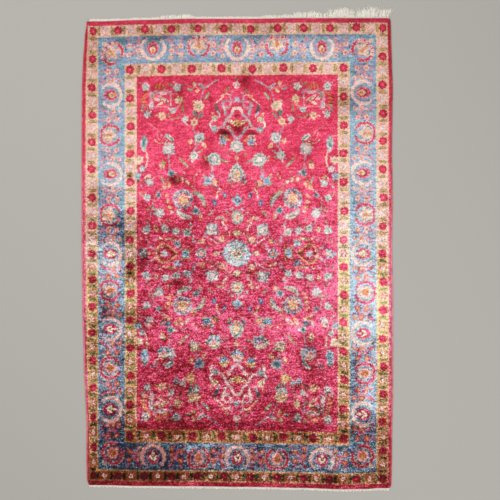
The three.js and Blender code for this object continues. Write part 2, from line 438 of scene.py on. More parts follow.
def crescent_palmette(x, y, turn):
    for window, u, v in places(x, y, 62, turn):
        theta = np.arctan2(u, v)
        edge = np.hypot(u / 57, v / 53) / (1 + 0.03 * np.cos(14 * theta))
        hollow = np.hypot(u / 40, (v - 8) / 46.5)
        mouth = (v > 14) & (np.abs(u) < 13)
        ring = (edge < 1) & (hollow > 1) & ~mouth
        dye(window, ring, "mauve")
        dye(window, ring & (edge < 0.98) & (hollow > 1.02), "blush")
        dye(window, (hollow <= 1) & ~mouth, "ice")
        dye(window, (hollow <= 0.93) & ~mouth, "sky")
    for where, rings in ((UPPER, CRESCENT_FLOWER), (LOWER, CRESCENT_FLOWER_BELOW)):
        flower(*shifted(x, y, turn, 0, 2), 28, rings, petals=9, turn=turn, depth=0.1, tall=1.22, where=where)
    flower(*shifted(x, y, turn, 0, 27), 10, [(1, "rose"), (0.55, "garnet")], petals=5, turn=turn)
    bud(*shifted(x, y, turn, 0, -8), 19, "cream", turn=turn, heart="amber", where=UPPER)
    for side in (-1, 1):
        leaf(*shifted(x, y, turn, side * 8, 6), 26, 8, "silk", turn=turn - side * 26, where=LOWER)
    leaf(*shifted(x, y, turn, 0, -14), 26, 9, "silk", turn=turn, vein="amber", where=LOWER)
    for side in (-1, 1):
        leaf(*shifted(x, y, turn, side * 19, 8), 22, 6, "rose", turn=turn - side * 30, bow=side * 3)
        flower(*shifted(x, y, turn, side * 31, 30), 5, [(1, "white"), (0.6, "ice")], petals=4)


def horseshoe_palmette(x, y, turn):
    for window, u, v in places(x, y, 66, turn):
        theta = np.arctan2(u, v)
        dip = 1 - 0.1 * np.exp(-((theta / 0.34) ** 2))
        rho = ((np.abs(u) / 52) ** 2.3 + (np.abs(v) / 48) ** 2.3) ** (1 / 2.3) / dip
        edge = 1 + 0.05 * np.cos(22 * theta)
        shoe = (rho < edge) & (rho > 0.7) & (np.abs(theta) < 2.7)
        dye(window, shoe, "blush")
        dye(window, shoe & (rho < edge * 0.96) & (rho > 0.73), "crimson")
        dye(window, (rho <= 0.7) & (rho > 0.65) & (np.abs(theta) < 2.5), "ice")
    # On the ends and in the corners small blossoms grow over the shoe. The sides have none.
    if turn < 90:
        for bearing in SHOE_BLOSSOM_BEARINGS:
            du, dv = turned(0, 40, bearing)
            place = shifted(x, y, turn, du * 1.2, dv * 0.96)
            flower(*place, 8, [(1, "blush"), (0.6, "rose")], petals=5, where=UPPER)
    flower(x, y, 22, [(1, "rose"), (0.9, "cream")], petals=7, turn=turn + 180,
           depth=0.08, point=0.5, where=UPPER)
    for tilt in LOTUS_TILTS:
        du, dv = turned(0, 19, tilt)
        petal = shifted(x, y, turn, du, dv)
        leaf(*petal, 32, 17, "rose", turn=turn + tilt, where=UPPER)
        leaf(*petal, 30, 14, "cream", turn=turn + tilt, vein="blush", where=UPPER)
    leaf(*shifted(x, y, turn, 0, 9), 36, 12, "amber", turn=turn, vein="gold", where=UPPER)
    flower(x, y, 29, HORSESHOE_FLOWER_BELOW, petals=7, turn=turn + 180, depth=0.12, point=0.3, where=LOWER)
    for side in (-1, 1):
        flower(*shifted(x, y, turn, side * 29, 12), 5, [(1, "navy"), (0.5, "ice")], petals=4)
        leaf(*shifted(x, y, turn, side * 18, -38), 20, 8, "garnet", turn=turn + side * 60, vein="rose")


# %% Border sprays
SPRAY_BLOSSOM = [(1, "rose"), (0.8, "blush"), (0.5, "coral"), (0.25, "amber")]
SPRAY_BLOSSOM_BELOW = [(1, "garnet"), (0.86, "coral"), (0.56, "amber"), (0.28, "blush")]
SPRAY_FILL = [
    # the yarn of a small stray leaf in the upper half, and in the lower
    ("mauve", "mauve"), ("rose", "garnet"), ("mauve", "coral"), ("ice", "garnet"), ("rose", "umber"),
]
fill_numbers = np.random.default_rng(12)


def spray(x, y, turn, flip):
    """Two leaves that cross, with blossoms at their ends."""
    def at(u, v):
        return shifted(x, y, turn, u * flip, v)

    for above, below in SPRAY_FILL * 2:
        place = at(fill_numbers.uniform(-46, 46), fill_numbers.uniform(-50, 50))
        length, width, tilt = fill_numbers.uniform((12, 5, 0), (18, 7, 180))
        leaf(*place, length, width, above, tilt, where=UPPER)
        leaf(*place, length, width, below, tilt, where=LOWER)

    stem([at(-24, 36), at(-7, 10), at(8, -10), at(24, -34)], "mauve", 3.4)
    stem([at(22, 30), at(8, 10), at(-8, -12), at(-20, -34)], "rose", 3)
    leaf(*at(-23, 33), 38, 12, "rose", turn=turn - 34 * flip, bow=3 * flip, vein="mauve", where=UPPER)
    leaf(*at(-23, 33), 38, 12, "garnet", turn=turn - 34 * flip, bow=3 * flip, vein="rose", where=LOWER)
    leaf(*at(22, 38), 26, 8, "rose", turn=turn + 30 * flip, bow=-3 * flip, vein="mauve")
    leaf(*at(-3, -41), 18, 6, "garnet", turn=turn + 60 * flip, where=LOWER)
    for u, v, tilt in ((36, 2, 15), (-36, 6, -12), (8, -26, 40), (-10, 26, -30)):
        leaf(*at(u, v), 16, 5, "navy", turn=turn + tilt * flip)
    leaf(*at(0, 38), 16, 5, "mauve", turn=turn)
    for where, rings in ((UPPER, SPRAY_BLOSSOM), (LOWER, SPRAY_BLOSSOM_BELOW)):
        flower(*at(20, 14), 16, rings, petals=5, turn=turn, depth=0.2, where=where)
        flower(*at(-20, -8), 15, rings, petals=5, turn=turn + 20, depth=0.2, where=where)
        flower(*at(20, -24), 15, rings, petals=5, turn=turn, depth=0.2, where=where)
        flower(*at(-22, -36), 14, rings[1:], petals=5, turn=turn, depth=0.2, where=where)
    flower(*at(-3, 6), 10, [(1, "rose"), (0.7, "mauve"), (0.35, "blush")], petals=6, depth=0.16)
    flower(*at(-18, 14), 8, [(1, "rose"), (0.6, "blush")], petals=5, turn=turn, depth=0.2)
    flower(*at(2, -16), 8, [(1, "rose"), (0.5, "coral")], petals=5, turn=turn, depth=0.2)


# %% Main border
PALMETTES = {"crescent": crescent_palmette, "horseshoe": horseshoe_palmette}
SIDE_PALMETTES = [
    (0, "crescent"), (170, "horseshoe"), (346, "crescent"), (520, "horseshoe"), (698, "crescent"),
]
END_PALMETTES = [(0, "crescent"), (169, "horseshoe"), (366, "crescent")]
CORNER_PALMETTE = (541, 878)
CORNER_BLOSSOM = (577, 920)

side_stops = [at for at, kind in SIDE_PALMETTES] + [CORNER_PALMETTE[1] - 14]
end_stops = [at for at, kind in END_PALMETTES] + [CORNER_PALMETTE[0] - 10]
for number, (low, high) in enumerate(zip(side_stops, side_stops[1:])):
    spray(BORDER_X, (low + high) / 2, 90, 1 if number % 2 else -1)
for number, (low, high) in enumerate(zip(end_stops, end_stops[1:])):
    spray((low + high) / 2, BORDER_Y, 0, -1 if number % 2 else 1)
for at, kind in SIDE_PALMETTES:
    PALMETTES[kind](BORDER_X + HORSESHOE_OUT * (kind == "horseshoe"), at, 90)
for at, kind in END_PALMETTES:
    PALMETTES[kind](at, BORDER_Y + HORSESHOE_OUT * (kind == "horseshoe"), 0)
horseshoe_palmette(*CORNER_PALMETTE, 45)
flower(*CORNER_BLOSSOM, 12, [(1, "white"), (0.5, "peach")], petals=5)
print("border knots", int((beyond(BLUE_FROM) & ~beyond(OUTER_GUARD_FROM)).sum()))

# %% [markdown]
# The field
#
# Stems climb from the middle and carry flowers, buds and leaves of every kind in the yarns that stand out on
# crimson. The tables hold one quarter, laid out to the nearest few millimetres. Small sprigs are then
# scattered round each flower, as a weaver fills the ground.

# %% Field: stems
FIELD_STEMS = [
    # points, yarn, width
    ([(78, 757), (105, 740), (140, 713), (152, 690), (158, 665)], "mauve", 5),
    ([(92, 752), (118, 733), (146, 716)], "ice", 3.4),
    ([(182, 606), (188, 580), (194, 545), (180, 515), (172, 500)], "mauve", 6),
    ([(166, 486), (176, 462), (190, 440)], "mauve", 7),
    ([(146, 716), (170, 722), (196, 726), (222, 738)], "rose", 3.4),
    ([(386, 566), (366, 552), (342, 534), (330, 514)], "rose", 4),
    ([(350, 530), (346, 506), (336, 494), (312, 498)], "rose", 4),
    ([(358, 494), (344, 480), (322, 482), (306, 492)], "cream", 3.6),
    ([(299, 440), (296, 414), (291, 379), (288, 356)], "mauve", 5.5),
    ([(288, 346), (300, 322), (312, 300), (322, 285)], "olive", 6),
    ([(322, 285), (345, 262), (362, 241), (366, 202), (354, 180), (340, 166)], "mauve", 5.5),
    ([(366, 202), (374, 180), (378, 150)], "mauve", 4),
    ([(340, 150), (330, 130), (313, 112), (266, 100), (219, 94), (196, 84)], "mauve", 5),
    ([(428, 512), (412, 508), (404, 500)], "rose", 5),
    ([(396, 452), (390, 430), (388, 405), (392, 380), (404, 362)], "cream", 5),
    ([(276, 312), (252, 316), (226, 312), (196, 292), (176, 268)], "olive", 4),
    ([(105, 382), (107, 362), (112, 340)], "mauve", 9),
    ([(112, 300), (92, 292), (76, 281), (62, 268), (54, 254)], "mauve", 5),
    ([(76, 281), (86, 262), (88, 240)], "cream", 6),
    ([(122, 284), (104, 290), (84, 284)], "umber", 4),
    ([(0, 414), (0, 440)], "mauve", 5),
    ([(0, 206), (0, 262)], "mauve", 5),
    ([(14, 292), (30, 300), (40, 318)], "mauve", 5),
    ([(250, 646), (276, 637), (319, 641), (362, 641), (386, 650), (402, 634), (398, 616)], "rose", 5),
    ([(254, 596), (287, 590), (300, 604), (291, 620)], "olive", 5),
    ([(250, 664), (256, 650), (276, 634)], "rose", 4),
    ([(287, 700), (289, 672), (288, 646)], "ice", 4.5),
    ([(188, 64), (180, 50), (160, 40)], "mauve", 4),
    ([(124, 68), (104, 58), (78, 41)], "white", 4),
    ([(150, 66), (138, 76), (124, 68)], "mauve", 4),
    ([(96, 86), (84, 60), (71, 44)], "mauve", 4),
    ([(220, 320), (250, 335), (276, 345)], "mauve", 3.6),
    ([(84, 158), (66, 154), (62, 140), (60, 128), (50, 120), (44, 104)], "blush", 7),
]
for points, yarn, width in FIELD_STEMS:
    stem(points, yarn, width)

# %% Field: the corner spray
COMB_STROKES = [
    # x, y, turn
    (348, 727, -14), (334, 732, -4), (320, 728, 10), (308, 718, 26), (396, 694, -54), (403, 678, -70),
    (404, 662, -84), (398, 648, -104), (380, 716, -40),
]
for x, y, turn in COMB_STROKES:
    leaf(x + 4, y + 5, 24, 6, "wine", turn)
    leaf(x, y, 28, 8, "amber", turn, 3)
for points, yarn, width in [
    ([(286, 700), (306, 710), (330, 706), (352, 704), (366, 694)], "mauve", 15),
    ([(290, 702), (308, 710), (330, 706), (348, 704)], "rose", 7),
    ([(372, 700), (374, 676), (368, 650), (366, 636)], "mauve", 15),
    ([(374, 692), (374, 672), (368, 648)], "rose", 7),
    ([(352, 704), (366, 694), (372, 684)], "olive", 5),
]:
    stem(points, yarn, width)
leaf(320, 676, 50, 13, "cream", 58, 4, "olive")
leaf(336, 654, 30, 11, "rose", 120, 3, "white")
leaf(350, 674, 28, 13, "white", 60, 0, "rose")
leaf(373, 648, 30, 15, "white", -10, 2, "mauve")
leaf(334, 655, 24, 12, "cream", 110)
leaf(322, 701, 38, 11, "blush", 84, 2, "mauve")
leaf(362, 688, 22, 9, "olive", 40)
leaf(306, 658, 22, 8, "umber", 20, 2)
leaf(388, 626, 20, 8, "umber", -20, 2)

# %% Field: the lantern on the long axis
LANTERN_STRAPS = [
    # points, yarn, width
    ([(6, 662), (18, 664), (26, 672), (27, 690), (20, 704)], "mauve", 6.5),
    ([(27, 662), (27, 648), (40, 634), (54, 642), (58, 656), (44, 664), (27, 662)], "mauve", 8),
    ([(56, 658), (62, 650), (58, 632), (52, 618), (52, 606)], "mauve", 11.5),
    ([(60, 650), (57, 634), (51, 618), (51, 608)], "ice", 5.5),
    ([(33, 690), (42, 694), (54, 690), (61, 684)], "cream", 5),
    ([(0, 634), (12, 634), (18, 624), (24, 606)], "blush", 12),
    ([(24, 606), (40, 593), (50, 580), (56, 562), (68, 548), (82, 544)], "mauve", 11.5),
    ([(26, 602), (42, 590), (52, 576), (58, 560)], "ice", 5.5),
    ([(30, 543), (56, 544), (82, 543)], "rose", 6.5),
    ([(36, 546), (26, 528), (14, 512), (0, 499)], "mauve", 11.5),
    ([(34, 542), (24, 524), (12, 510), (0, 500)], "ice", 5),
    ([(61, 680), (72, 668), (84, 660), (94, 648)], "cream", 5.5),
    ([(94, 648), (95, 634), (88, 618), (78, 606), (78, 596)], "white", 5.5),
    ([(106, 580), (116, 566), (117, 552), (106, 542)], "white", 8),
    ([(28, 652), (36, 642), (46, 640)], "rose", 5),
]
flower(62, 528, 27, [(1, "garnet"), (0.6, "wine")], petals=5, turn=40, depth=0.2)
flower(34, 556, 22, [(1, "garnet"), (0.7, "wine"), (0.4, "garnet")], petals=5, turn=30, depth=0.2)
flower(0, 596, 20, [(1, "garnet")], petals=5, depth=0.2)
flower(0, 541, 20, [(1, "wine"), (0.5, "garnet")], petals=6)
for points, yarn, width in LANTERN_STRAPS:
    stem(points, yarn, width)
leaf(88, 632, 42, 16, "umber", 16, 4, "navy")
leaf(83, 610, 22, 9, "ice", 30)
bud(61, 684, 11, "peach", -20, "coral")
leaf(41, 712, 32, 8, "olive", -35, 3)
leaf(24, 574, 40, 14, "cream", 72, 4, "umber")
leaf(36, 548, 24, 10, "cream", 60, 0, "umber")
flower(0, 568, 22, [(1, "umber"), (0.84, "gold"), (0.58, "umber"), (0.32, "coral")], petals=6, depth=0.22)
flower(98, 586, 15, [(1, "cream"), (0.7, "olive"), (0.45, "cream")], petals=6, depth=0.1)
flower(98, 539, 16, [(1, "ice"), (0.75, "teal"), (0.5, "ice")], petals=6, depth=0.12)
flower(0, 674, 11, [(1, "sky"), (0.6, "ice")], petals=4, depth=0.1, turn=45)
flower(0, 733, 16, [(1, "white"), (0.72, "rose"), (0.45, "white")], petals=5, depth=0.12, point=0.2)
leaf(0, 756, 22, 9, "olive", 0, 0, "umber")
bud(108, 610, 7, "peach", 0)

# %% [markdown]
# Flowers are all one tool with other rings: a pale rim, a greyer ring, and a heart. The names of the
# schemes say which yarn catches the eye.

# %% Field: flowers
ICY = [(1, "ice"), (0.8, "white"), (0.62, "ice"), (0.36, "teal"), (0.24, "white")]
PINK_HEART = [(1, "ice"), (0.84, "white"), (0.7, "ice"), (0.46, "white"), (0.3, "blush")]
CREAMY = [(1, "cream"), (0.8, "peach"), (0.62, "cream"), (0.36, "olive"), (0.24, "cream")]
BLUE = [(1, "ice"), (0.84, "sky"), (0.44, "navy"), (0.28, "ice")]
DARK = [(1, "ice"), (0.76, "teal"), (0.45, "navy")]
GOLDEN = [(1, "gold"), (0.66, "peach"), (0.35, "coral")]
PEACHY = [(1, "peach"), (0.72, "cream"), (0.45, "coral"), (0.25, "olive")]

FIELD_FLOWERS = [
    # x, y, radius, scheme, petals, turn
    (394, 727, 20, ICY, 5, 0), (261, 725, 19, ICY, 5, 20), (252, 672, 19, CREAMY, 6, 10),
    (281, 625, 15, ICY, 5, 0), (390, 606, 17, ICY, 6, 0), (327, 601, 19, PEACHY, 6, 45),
    (231, 584, 16, ICY, 4, 0), (168, 642, 25, CREAMY, 7, 20), (189, 572, 19, PEACHY, 6, 0),
    (166, 502, 25, ICY, 6, 15), (187, 423, 22, ICY, 8, 0), (298, 458, 28, PINK_HEART, 9, 0),
    (287, 350, 17, DARK, 4, 20), (325, 378, 14, PEACHY, 5, 0), (342, 254, 13, DARK, 4, 0),
    (392, 243, 17, ICY, 4, 20), (340, 178, 23, PINK_HEART, 7, 0), (313, 111, 18, ICY, 5, 0),
    (266, 100, 19, ICY, 6, 0), (219, 94, 19, ICY, 5, 0), (181, 186, 17, DARK, 5, 0),
    (109, 105, 29, PINK_HEART, 4, 45), (64, 64, 16, PEACHY, 9, 0), (126, 313, 20, BLUE, 4, 45),
    (0, 466, 29, PINK_HEART, 12, 0), (0, 232, 22, BLUE, 4, 0), (59, 487, 18, BLUE, 5, 0),
    (259, 43, 16, BLUE, 6, 0), (409, 366, 15, ICY, 5, 0), (428, 334, 17, BLUE, 5, 0),
    (424, 405, 20, CREAMY, 6, 0), (0, 90, 15, CREAMY, 5, 45), (88, 0, 13, CREAMY, 6, 0),
    (149, 53, 12, GOLDEN, 5, 0), (378, 306, 18, PINK_HEART, 5, 20), (394, 104, 21, ICY, 5, 50),
    (96, 308, 12, GOLDEN, 5, 0), (160, 164, 10, PEACHY, 5, 0), (330, 20, 10, ICY, 4, 0),
    (204, 130, 8, ICY, 4, 0),
]
for x, y, radius, scheme, petals, turn in FIELD_FLOWERS:
    flower(x, y, radius, scheme, petals, turn, depth=0.14 if radius < 25 else 0.09)

# %% Field: buds
FIELD_BUDS = [
    # x, y, size, yarn, turn, heart
    (183, 736, 13, "peach", 0, "cream"), (172, 709, 13, "peach", 150, None),
    (202, 485, 14, "peach", 0, None), (143, 467, 15, "peach", 40, None), (99, 219, 16, "navy", 20, "sky"),
    (54, 252, 14, "navy", 20, "ice"), (352, 108, 14, "peach", 0, "olive"),
    (318, 286, 12, "peach", -60, "gold"), (296, 298, 12, "peach", -20, "gold"),
    (262, 318, 12, "peach", 0, None), (238, 318, 11, "peach", 20, None), (216, 308, 11, "cream", 40, None),
    (306, 252, 10, "peach", -60, "gold"), (304, 228, 11, "peach", -90, None),
    (298, 204, 11, "gold", -110, "cream"), (288, 186, 10, "peach", -120, None),
    (0, 412, 14, "peach", 0, "coral"), (104, 332, 10, "sky", 60, None), (378, 330, 11, "peach", 30, None),
    (388, 414, 10, "cream", 0, None), (186, 326, 7, "peach", 0, None), (176, 342, 7, "peach", 0, None),
    (160, 356, 7, "rose", 0, None), (146, 338, 6, "peach", 0, None),
]
for x, y, size, yarn, turn, heart in FIELD_BUDS:
    bud(x, y, size, yarn, turn, heart)
print("buds in a quarter", len(FIELD_BUDS))

# %% Field: leaves
FIELD_LEAVES = [
    # x, y, length, width, yarn, turn, bow, vein
    (129, 686, 44, 13, "olive", -34, 0, "ice"), (152, 728, 34, 13, "ice", 58, 0, "olive"),
    (204, 716, 34, 11, "olive", 80, 2, "ice"), (291, 738, 30, 9, "olive", 66, 6, None),
    (408, 636, 40, 9, "olive", -16, 5, "ice"), (236, 632, 36, 9, "olive", 0, 4, None),
    (186, 610, 30, 14, "teal", 16, 0, "umber"), (160, 600, 38, 11, "teal", -44, 0, "olive"),
    (176, 608, 22, 8, "umber", 0, 0, None), (403, 478, 56, 30, "ice", -6, 0, "teal"),
    (402, 498, 26, 16, "teal", -6, 0, "ice"), (404, 450, 26, 14, "ice", 10, 0, "white"),
    (224, 388, 44, 9, "olive", 40, 3, "ice"), (54, 400, 38, 9, "olive", 72, 4, "ice"),
    (240, 402, 40, 8, "olive", 34, 0, None), (164, 240, 84, 23, "olive", 38, -14, "ice"),
    (165, 239, 72, 14, "ice", 38, -13, "mauve"), (236, 172, 78, 24, "ice", 61, 12, "cream"),
    (235, 168, 52, 10, "cream", 61, 11, "olive"), (115, 177, 38, 9, "olive", -41, 0, "ice"),
    (77, 155, 40, 9, "cream", -74, 3, "olive"), (296, 505, 46, 20, "white", 52, 0, "teal"),
    (310, 512, 30, 9, "ice", -60, 0, None), (284, 494, 30, 9, "teal", 10, 0, None),
    (56, 146, 30, 12, "coral", 70, 0, "cream"), (58, 511, 34, 12, "cream", 86, 3, "olive"),
    (38, 496, 24, 9, "gold", 60, 3, None), (66, 506, 14, 8, "umber", 0, 0, None),
    (324, 320, 38, 10, "olive", 20, 3, "ice"), (388, 60, 24, 7, "mauve", 10, 0, None),
    (188, 64, 36, 10, "ice", 6, 2, "mauve"), (288, 62, 56, 11, "olive", 84, -4, "cream"),
    (308, 470, 34, 8, "peach", -40, 2, None), (284, 440, 26, 12, "mauve", -20, 0, "ice"),
    (316, 440, 26, 11, "mauve", 24, 0, "ice"), (388, 140, 22, 7, "olive", -40, 3, None),
    (44, 84, 20, 7, "olive", -40, 2, None), (160, 440, 30, 8, "olive", -60, 0, "ice"),
    (360, 196, 28, 9, "olive", 40, 0, "ice"), (384, 196, 24, 8, "olive", -30, 0, None),
    (300, 148, 26, 7, "olive", 80, 0, None), (410, 414, 16, 7, "white", -30, 0, None),
    (392, 330, 22, 8, "white", -50, 0, None), (318, 396, 18, 7, "olive", 20, 0, None),
    (110, 380, 22, 8, "olive", 0, 0, None), (136, 296, 26, 9, "olive", 70, 0, "ice"),
    (232, 350, 20, 6, "mauve", 60, 0, None), (40, 430, 20, 6, "olive", 40, 0, None),
    (352, 66, 30, 6, "mauve", 70, 3, None), (414, 60, 20, 7, "olive", 8, 0, None),
    (330, 70, 22, 6, "cream", 60, 3, None), (210, 30, 20, 7, "gold", 20, 0, "umber"),
    (210, 16, 12, 6, "olive", -40, 0, None), (350, 60, 16, 6, "rose", -40, 0, None),
    (128, 26, 24, 6, "mauve", -20, 0, None), (112, 40, 18, 6, "olive", 60, 0, None),
    (136, 92, 18, 7, "sky", -30, 0, None), (120, 128, 20, 6, "sky", 40, 0, None),
    (30, 88, 14, 6, "cream", 30, 0, None), (40, 178, 24, 7, "olive", 60, 0, "ice"),
    (22, 196, 18, 8, "ice", -50, 0, None), (30, 306, 24, 7, "olive", 50, 3, None),
    (34, 338, 20, 8, "ice", 0, 0, "teal"), (416, 290, 18, 7, "ice", -60, 0, None),
    (420, 262, 16, 6, "olive", 0, 0, None), (222, 250, 8, 6, "navy", 0, 0, None),
]
for x, y, length, width, yarn, turn, bow, vein in FIELD_LEAVES:
    leaf(x, y, length, width, yarn, turn, bow, vein)

# %% Field: sprigs round the flowers
SPRIG_YARNS = ["olive", "mauve", "white", "umber", "ice", "rose", "wine", "wine", "olive"]
SPRIG_SEED = 11
sprig_numbers = np.random.default_rng(SPRIG_SEED)
for x, y, radius, scheme, petals, turn in FIELD_FLOWERS:
    for _ in range(4):
        bearing = sprig_numbers.uniform(0, 360)
        reach = radius + sprig_numbers.uniform(0, 7)
        yarn = SPRIG_YARNS[int(sprig_numbers.integers(len(SPRIG_YARNS)))]
        u, v = turned(0, reach, bearing)
        leaf(x + u, y + v, sprig_numbers.uniform(10, 18), sprig_numbers.uniform(4, 6), yarn, bearing + 20)

# %% [markdown]
# The large forms of the field come last, over the stems: a round rosette in the very middle, palmettes on
# both axes, a wreath of leaves round a peach flower in each quarter, and a dark cartouche on the cross axis.

# %% Field: the large forms
# The rosette in the middle.
flower(0, 0, 63, [(1, "teal"), (0.96, "ice"), (0.86, "white"), (0.78, "ice"), (0.7, "sky"), (0.64, "ice")],
       petals=16, depth=0.06)
for step in range(8):
    du, dv = turned(0, 41, step * 45)
    flower(du, dv, 11, [(1, "ice"), (0.66, "mauve"), (0.4, "white")], petals=5)
for step in range(8):
    du, dv = turned(0, 52, step * 45 + 22)
    leaf(du, dv, 16, 8, ("sky", "teal")[step % 2], step * 45 + 22, 0, "ice")
flower(0, 0, 28, [(1, "teal"), (0.9, "silk"), (0.74, "umber"), (0.66, "cream")], petals=12, depth=0.08)
flower(0, 0, 12, [(1, "umber"), (0.8, "mauve"), (0.5, "cream")], petals=8, depth=0.1)
leaf(46, 0, 42, 24, "navy", 90, 0)
leaf(46, 0, 38, 20, "sky", 90, 0, "ice")
flower(34, 0, 7, [(1, "coral"), (0.5, "rose")], petals=5)
leaf(0, 50, 26, 14, "sky", 0, 0, "white")

# Palmettes on the long axis and beside it.
flower(0, 345, 32,
       [(1, "ice"), (0.92, "white"), (0.84, "ice"), (0.66, "teal"), (0.56, "cream"), (0.36, "peach")],
       petals=11, depth=0.1, tall=1.3, point=0.26)
flower(0, 322, 15, [(1, "cream"), (0.7, "coral"), (0.35, "mauve")], petals=5, depth=0.2)
leaf(30, 318, 24, 10, "navy", 60, 0, "ice")
flower(0, 158, 29,
       [(1, "ice"), (0.86, "olive"), (0.72, "ice"), (0.58, "cream"), (0.4, "peach"), (0.22, "rose")],
       petals=10, depth=0.1, tall=1.12, point=0.2)
flower(98, 408, 30,
       [(1, "ice"), (0.92, "white"), (0.86, "ice"), (0.6, "teal"), (0.46, "white"), (0.3, "blush")],
       petals=9, turn=-135, depth=0.08, point=0.3)
leaf(134, 410, 24, 9, "cream", 8, -4, "olive")

# %% Field: the wreath
WREATH = (237, 238)
WREATH_LEAF_OUT = 34
flower(*WREATH, 44, [(1, "ice"), (0.94, "white"), (0.86, "crimson")], petals=11, depth=0.07)
for step in range(10):
    bearing = step * 36 + 10
    du, dv = turned(0, WREATH_LEAF_OUT, bearing)
    yarns = [("navy", "ice"), ("ice", "teal"), ("mauve", "navy"), ("sky", "white"), ("ice", "navy")]
    leaf(WREATH[0] + du, WREATH[1] + dv, 25, 14, yarns[step % 5][0], bearing + 40, 0, yarns[step % 5][1])
flower(*WREATH, 27, [(1, "cream"), (0.9, "peach"), (0.5, "coral"), (0.4, "cream"), (0.25, "gold")],
       petals=6, depth=0.16)
flower(WREATH[0] + 8, WREATH[1] - 4, 9, [(1, "peach"), (0.5, "amber")], petals=5, depth=0.1)

# The cartouche and its neighbours on the cross axis.
CARTOUCHE_X = 314
flower(CARTOUCHE_X - 2, 0, 36, [(1, "garnet"), (0.6, "crimson")], petals=8, depth=0.1)
flower(CARTOUCHE_X - 38, 0, 13, [(1, "umber"), (0.8, "wine")], petals=5, depth=0.1)
for points, yarn, width in [
    ([(262, 4), (278, 18), (296, 34), (320, 46), (338, 32), (350, 14)], "gold", 5.5),
    ([(298, 30), (318, 39), (332, 26)], "umber", 5),
    ([(284, 14), (298, 28), (306, 22)], "wine", 5),
    ([(340, 20), (352, 6), (344, 0)], "peach", 4),
]:
    stem(points, yarn, width)
flower(CARTOUCHE_X, 0, 17, [(1, "ice"), (0.8, "white"), (0.6, "ice"), (0.3, "mauve")], petals=6, depth=0.16)
leaf(366, 27, 30, 9, "ice", 56, 2, "mauve")
leaf(358, 46, 22, 6, "wine", 60)
leaf(376, 36, 22, 6, "mauve", 74)
flower(224, 0, 20, [(1, "olive"), (0.9, "ice"), (0.7, "sky"), (0.45, "navy"), (0.24, "ice")],
       petals=6, depth=0.13, tall=1.3)
leaf(206, 12, 14, 8, "gold", 20, 0, "umber")
leaf(240, 20, 12, 8, "olive", -30)
flower(402, 0, 24, [(1, "ice"), (0.8, "sky"), (0.5, "ice"), (0.34, "peach")],
       petals=6, turn=90, depth=0.16, point=0.4)
leaf(384, 0, 22, 12, "peach", 90, 0, "coral")
flower(154, 0, 24, [(1, "white"), (0.88, "navy"), (0.7, "ice"), (0.5, "white"), (0.42, "coral")],
       petals=8, turn=90, depth=0.08)

# %% Field: what the lower half has of its own
LOWER_FLOWERS = [
    # x, y, radius, rings, petals
    (401, 462, 21, [(1, "ice"), (0.86, "sky"), (0.5, "navy"), (0.32, "sky")], 5),
    (318, 452, 29, [(1, "ice"), (0.9, "blush"), (0.5, "cream"), (0.3, "rose")], 7),
    (0, 466, 28, [(1, "blush"), (0.8, "cream"), (0.5, "rose"), (0.3, "cream")], 9),
    (100, 408, 31, [(1, "ice"), (0.9, "cream"), (0.55, "blush"), (0.3, "rose")], 8),
    (188, 430, 21, [(1, "olive"), (0.8, "cream"), (0.5, "umber"), (0.3, "blush")], 7),
    (168, 502, 21, [(1, "mauve"), (0.8, "teal"), (0.5, "navy")], 6),
    (198, 562, 20, [(1, "gold"), (0.66, "cream"), (0.34, "coral")], 6),
    (262, 574, 15, [(1, "ice"), (0.7, "sky"), (0.4, "mauve")], 5),
    (174, 630, 27, [(1, "peach"), (0.7, "cream"), (0.4, "coral")], 6),
]
for x, y, radius, rings, petals in LOWER_FLOWERS:
    flower(x, y, radius, rings, petals, depth=0.12, where=LOWER)
LOWER_LEAVES = [
    # x, y, length, width, yarn, turn, bow, vein
    (62, 503, 24, 14, "gold", 80, 0, None), (361, 508, 40, 18, "mauve", 60, 0, "wine"),
    (120, 330, 14, 10, "gold", 30, 0, None), (300, 322, 34, 18, "navy", 60, 0, "teal"),
    (330, 706, 60, 15, "blush", 84, 4, "mauve"), (372, 672, 50, 13, "blush", -8, 4, "mauve"),
    (250, 300, 16, 12, "gold", 20, 0, None), (290, 232, 16, 12, "gold", 70, 0, None),
    (196, 268, 14, 11, "gold", 50, 0, None), (112, 520, 34, 12, "blush", 20, 6, None),
    (346, 600, 14, 12, "gold", 0, 0, "coral"),
]
for x, y, length, width, yarn, turn, bow, vein in LOWER_LEAVES:
    leaf(x, y, length, width, yarn, turn, bow, vein, where=LOWER)
for x, y, turn in COMB_STROKES:
    leaf(x, y, 28, 8, "gold", turn, 3, "coral", where=LOWER)
LOWER_CROWNS = [
    # x, y, radius, yarn, vein
    (318, 452, 30, "sky", "navy"), (100, 408, 31, "sky", "navy"), (0, 466, 28, "sky", "navy"),
    (174, 630, 25, "sky", "teal"), (134, 320, 20, "navy", "sky"), (59, 487, 16, "sky", "navy"),
]
for x, y, radius, yarn, vein in LOWER_CROWNS:
    for tilt in (-74, -26, 26, 74):
        du, dv = turned(0, radius * 0.66, 180 + tilt)
        leaf(x + du, y + dv, radius * 0.72, radius * 0.42, yarn, 180 + tilt, 0, vein, where=LOWER)
for points, yarn, width in LANTERN_STRAPS:
    if yarn == "mauve":
        stem(points, "blush", width * 0.6, where=LOWER)
print("knots of each yarn", {name: int((chart == DYE[name]).sum()) for name in YARN_NAMES})
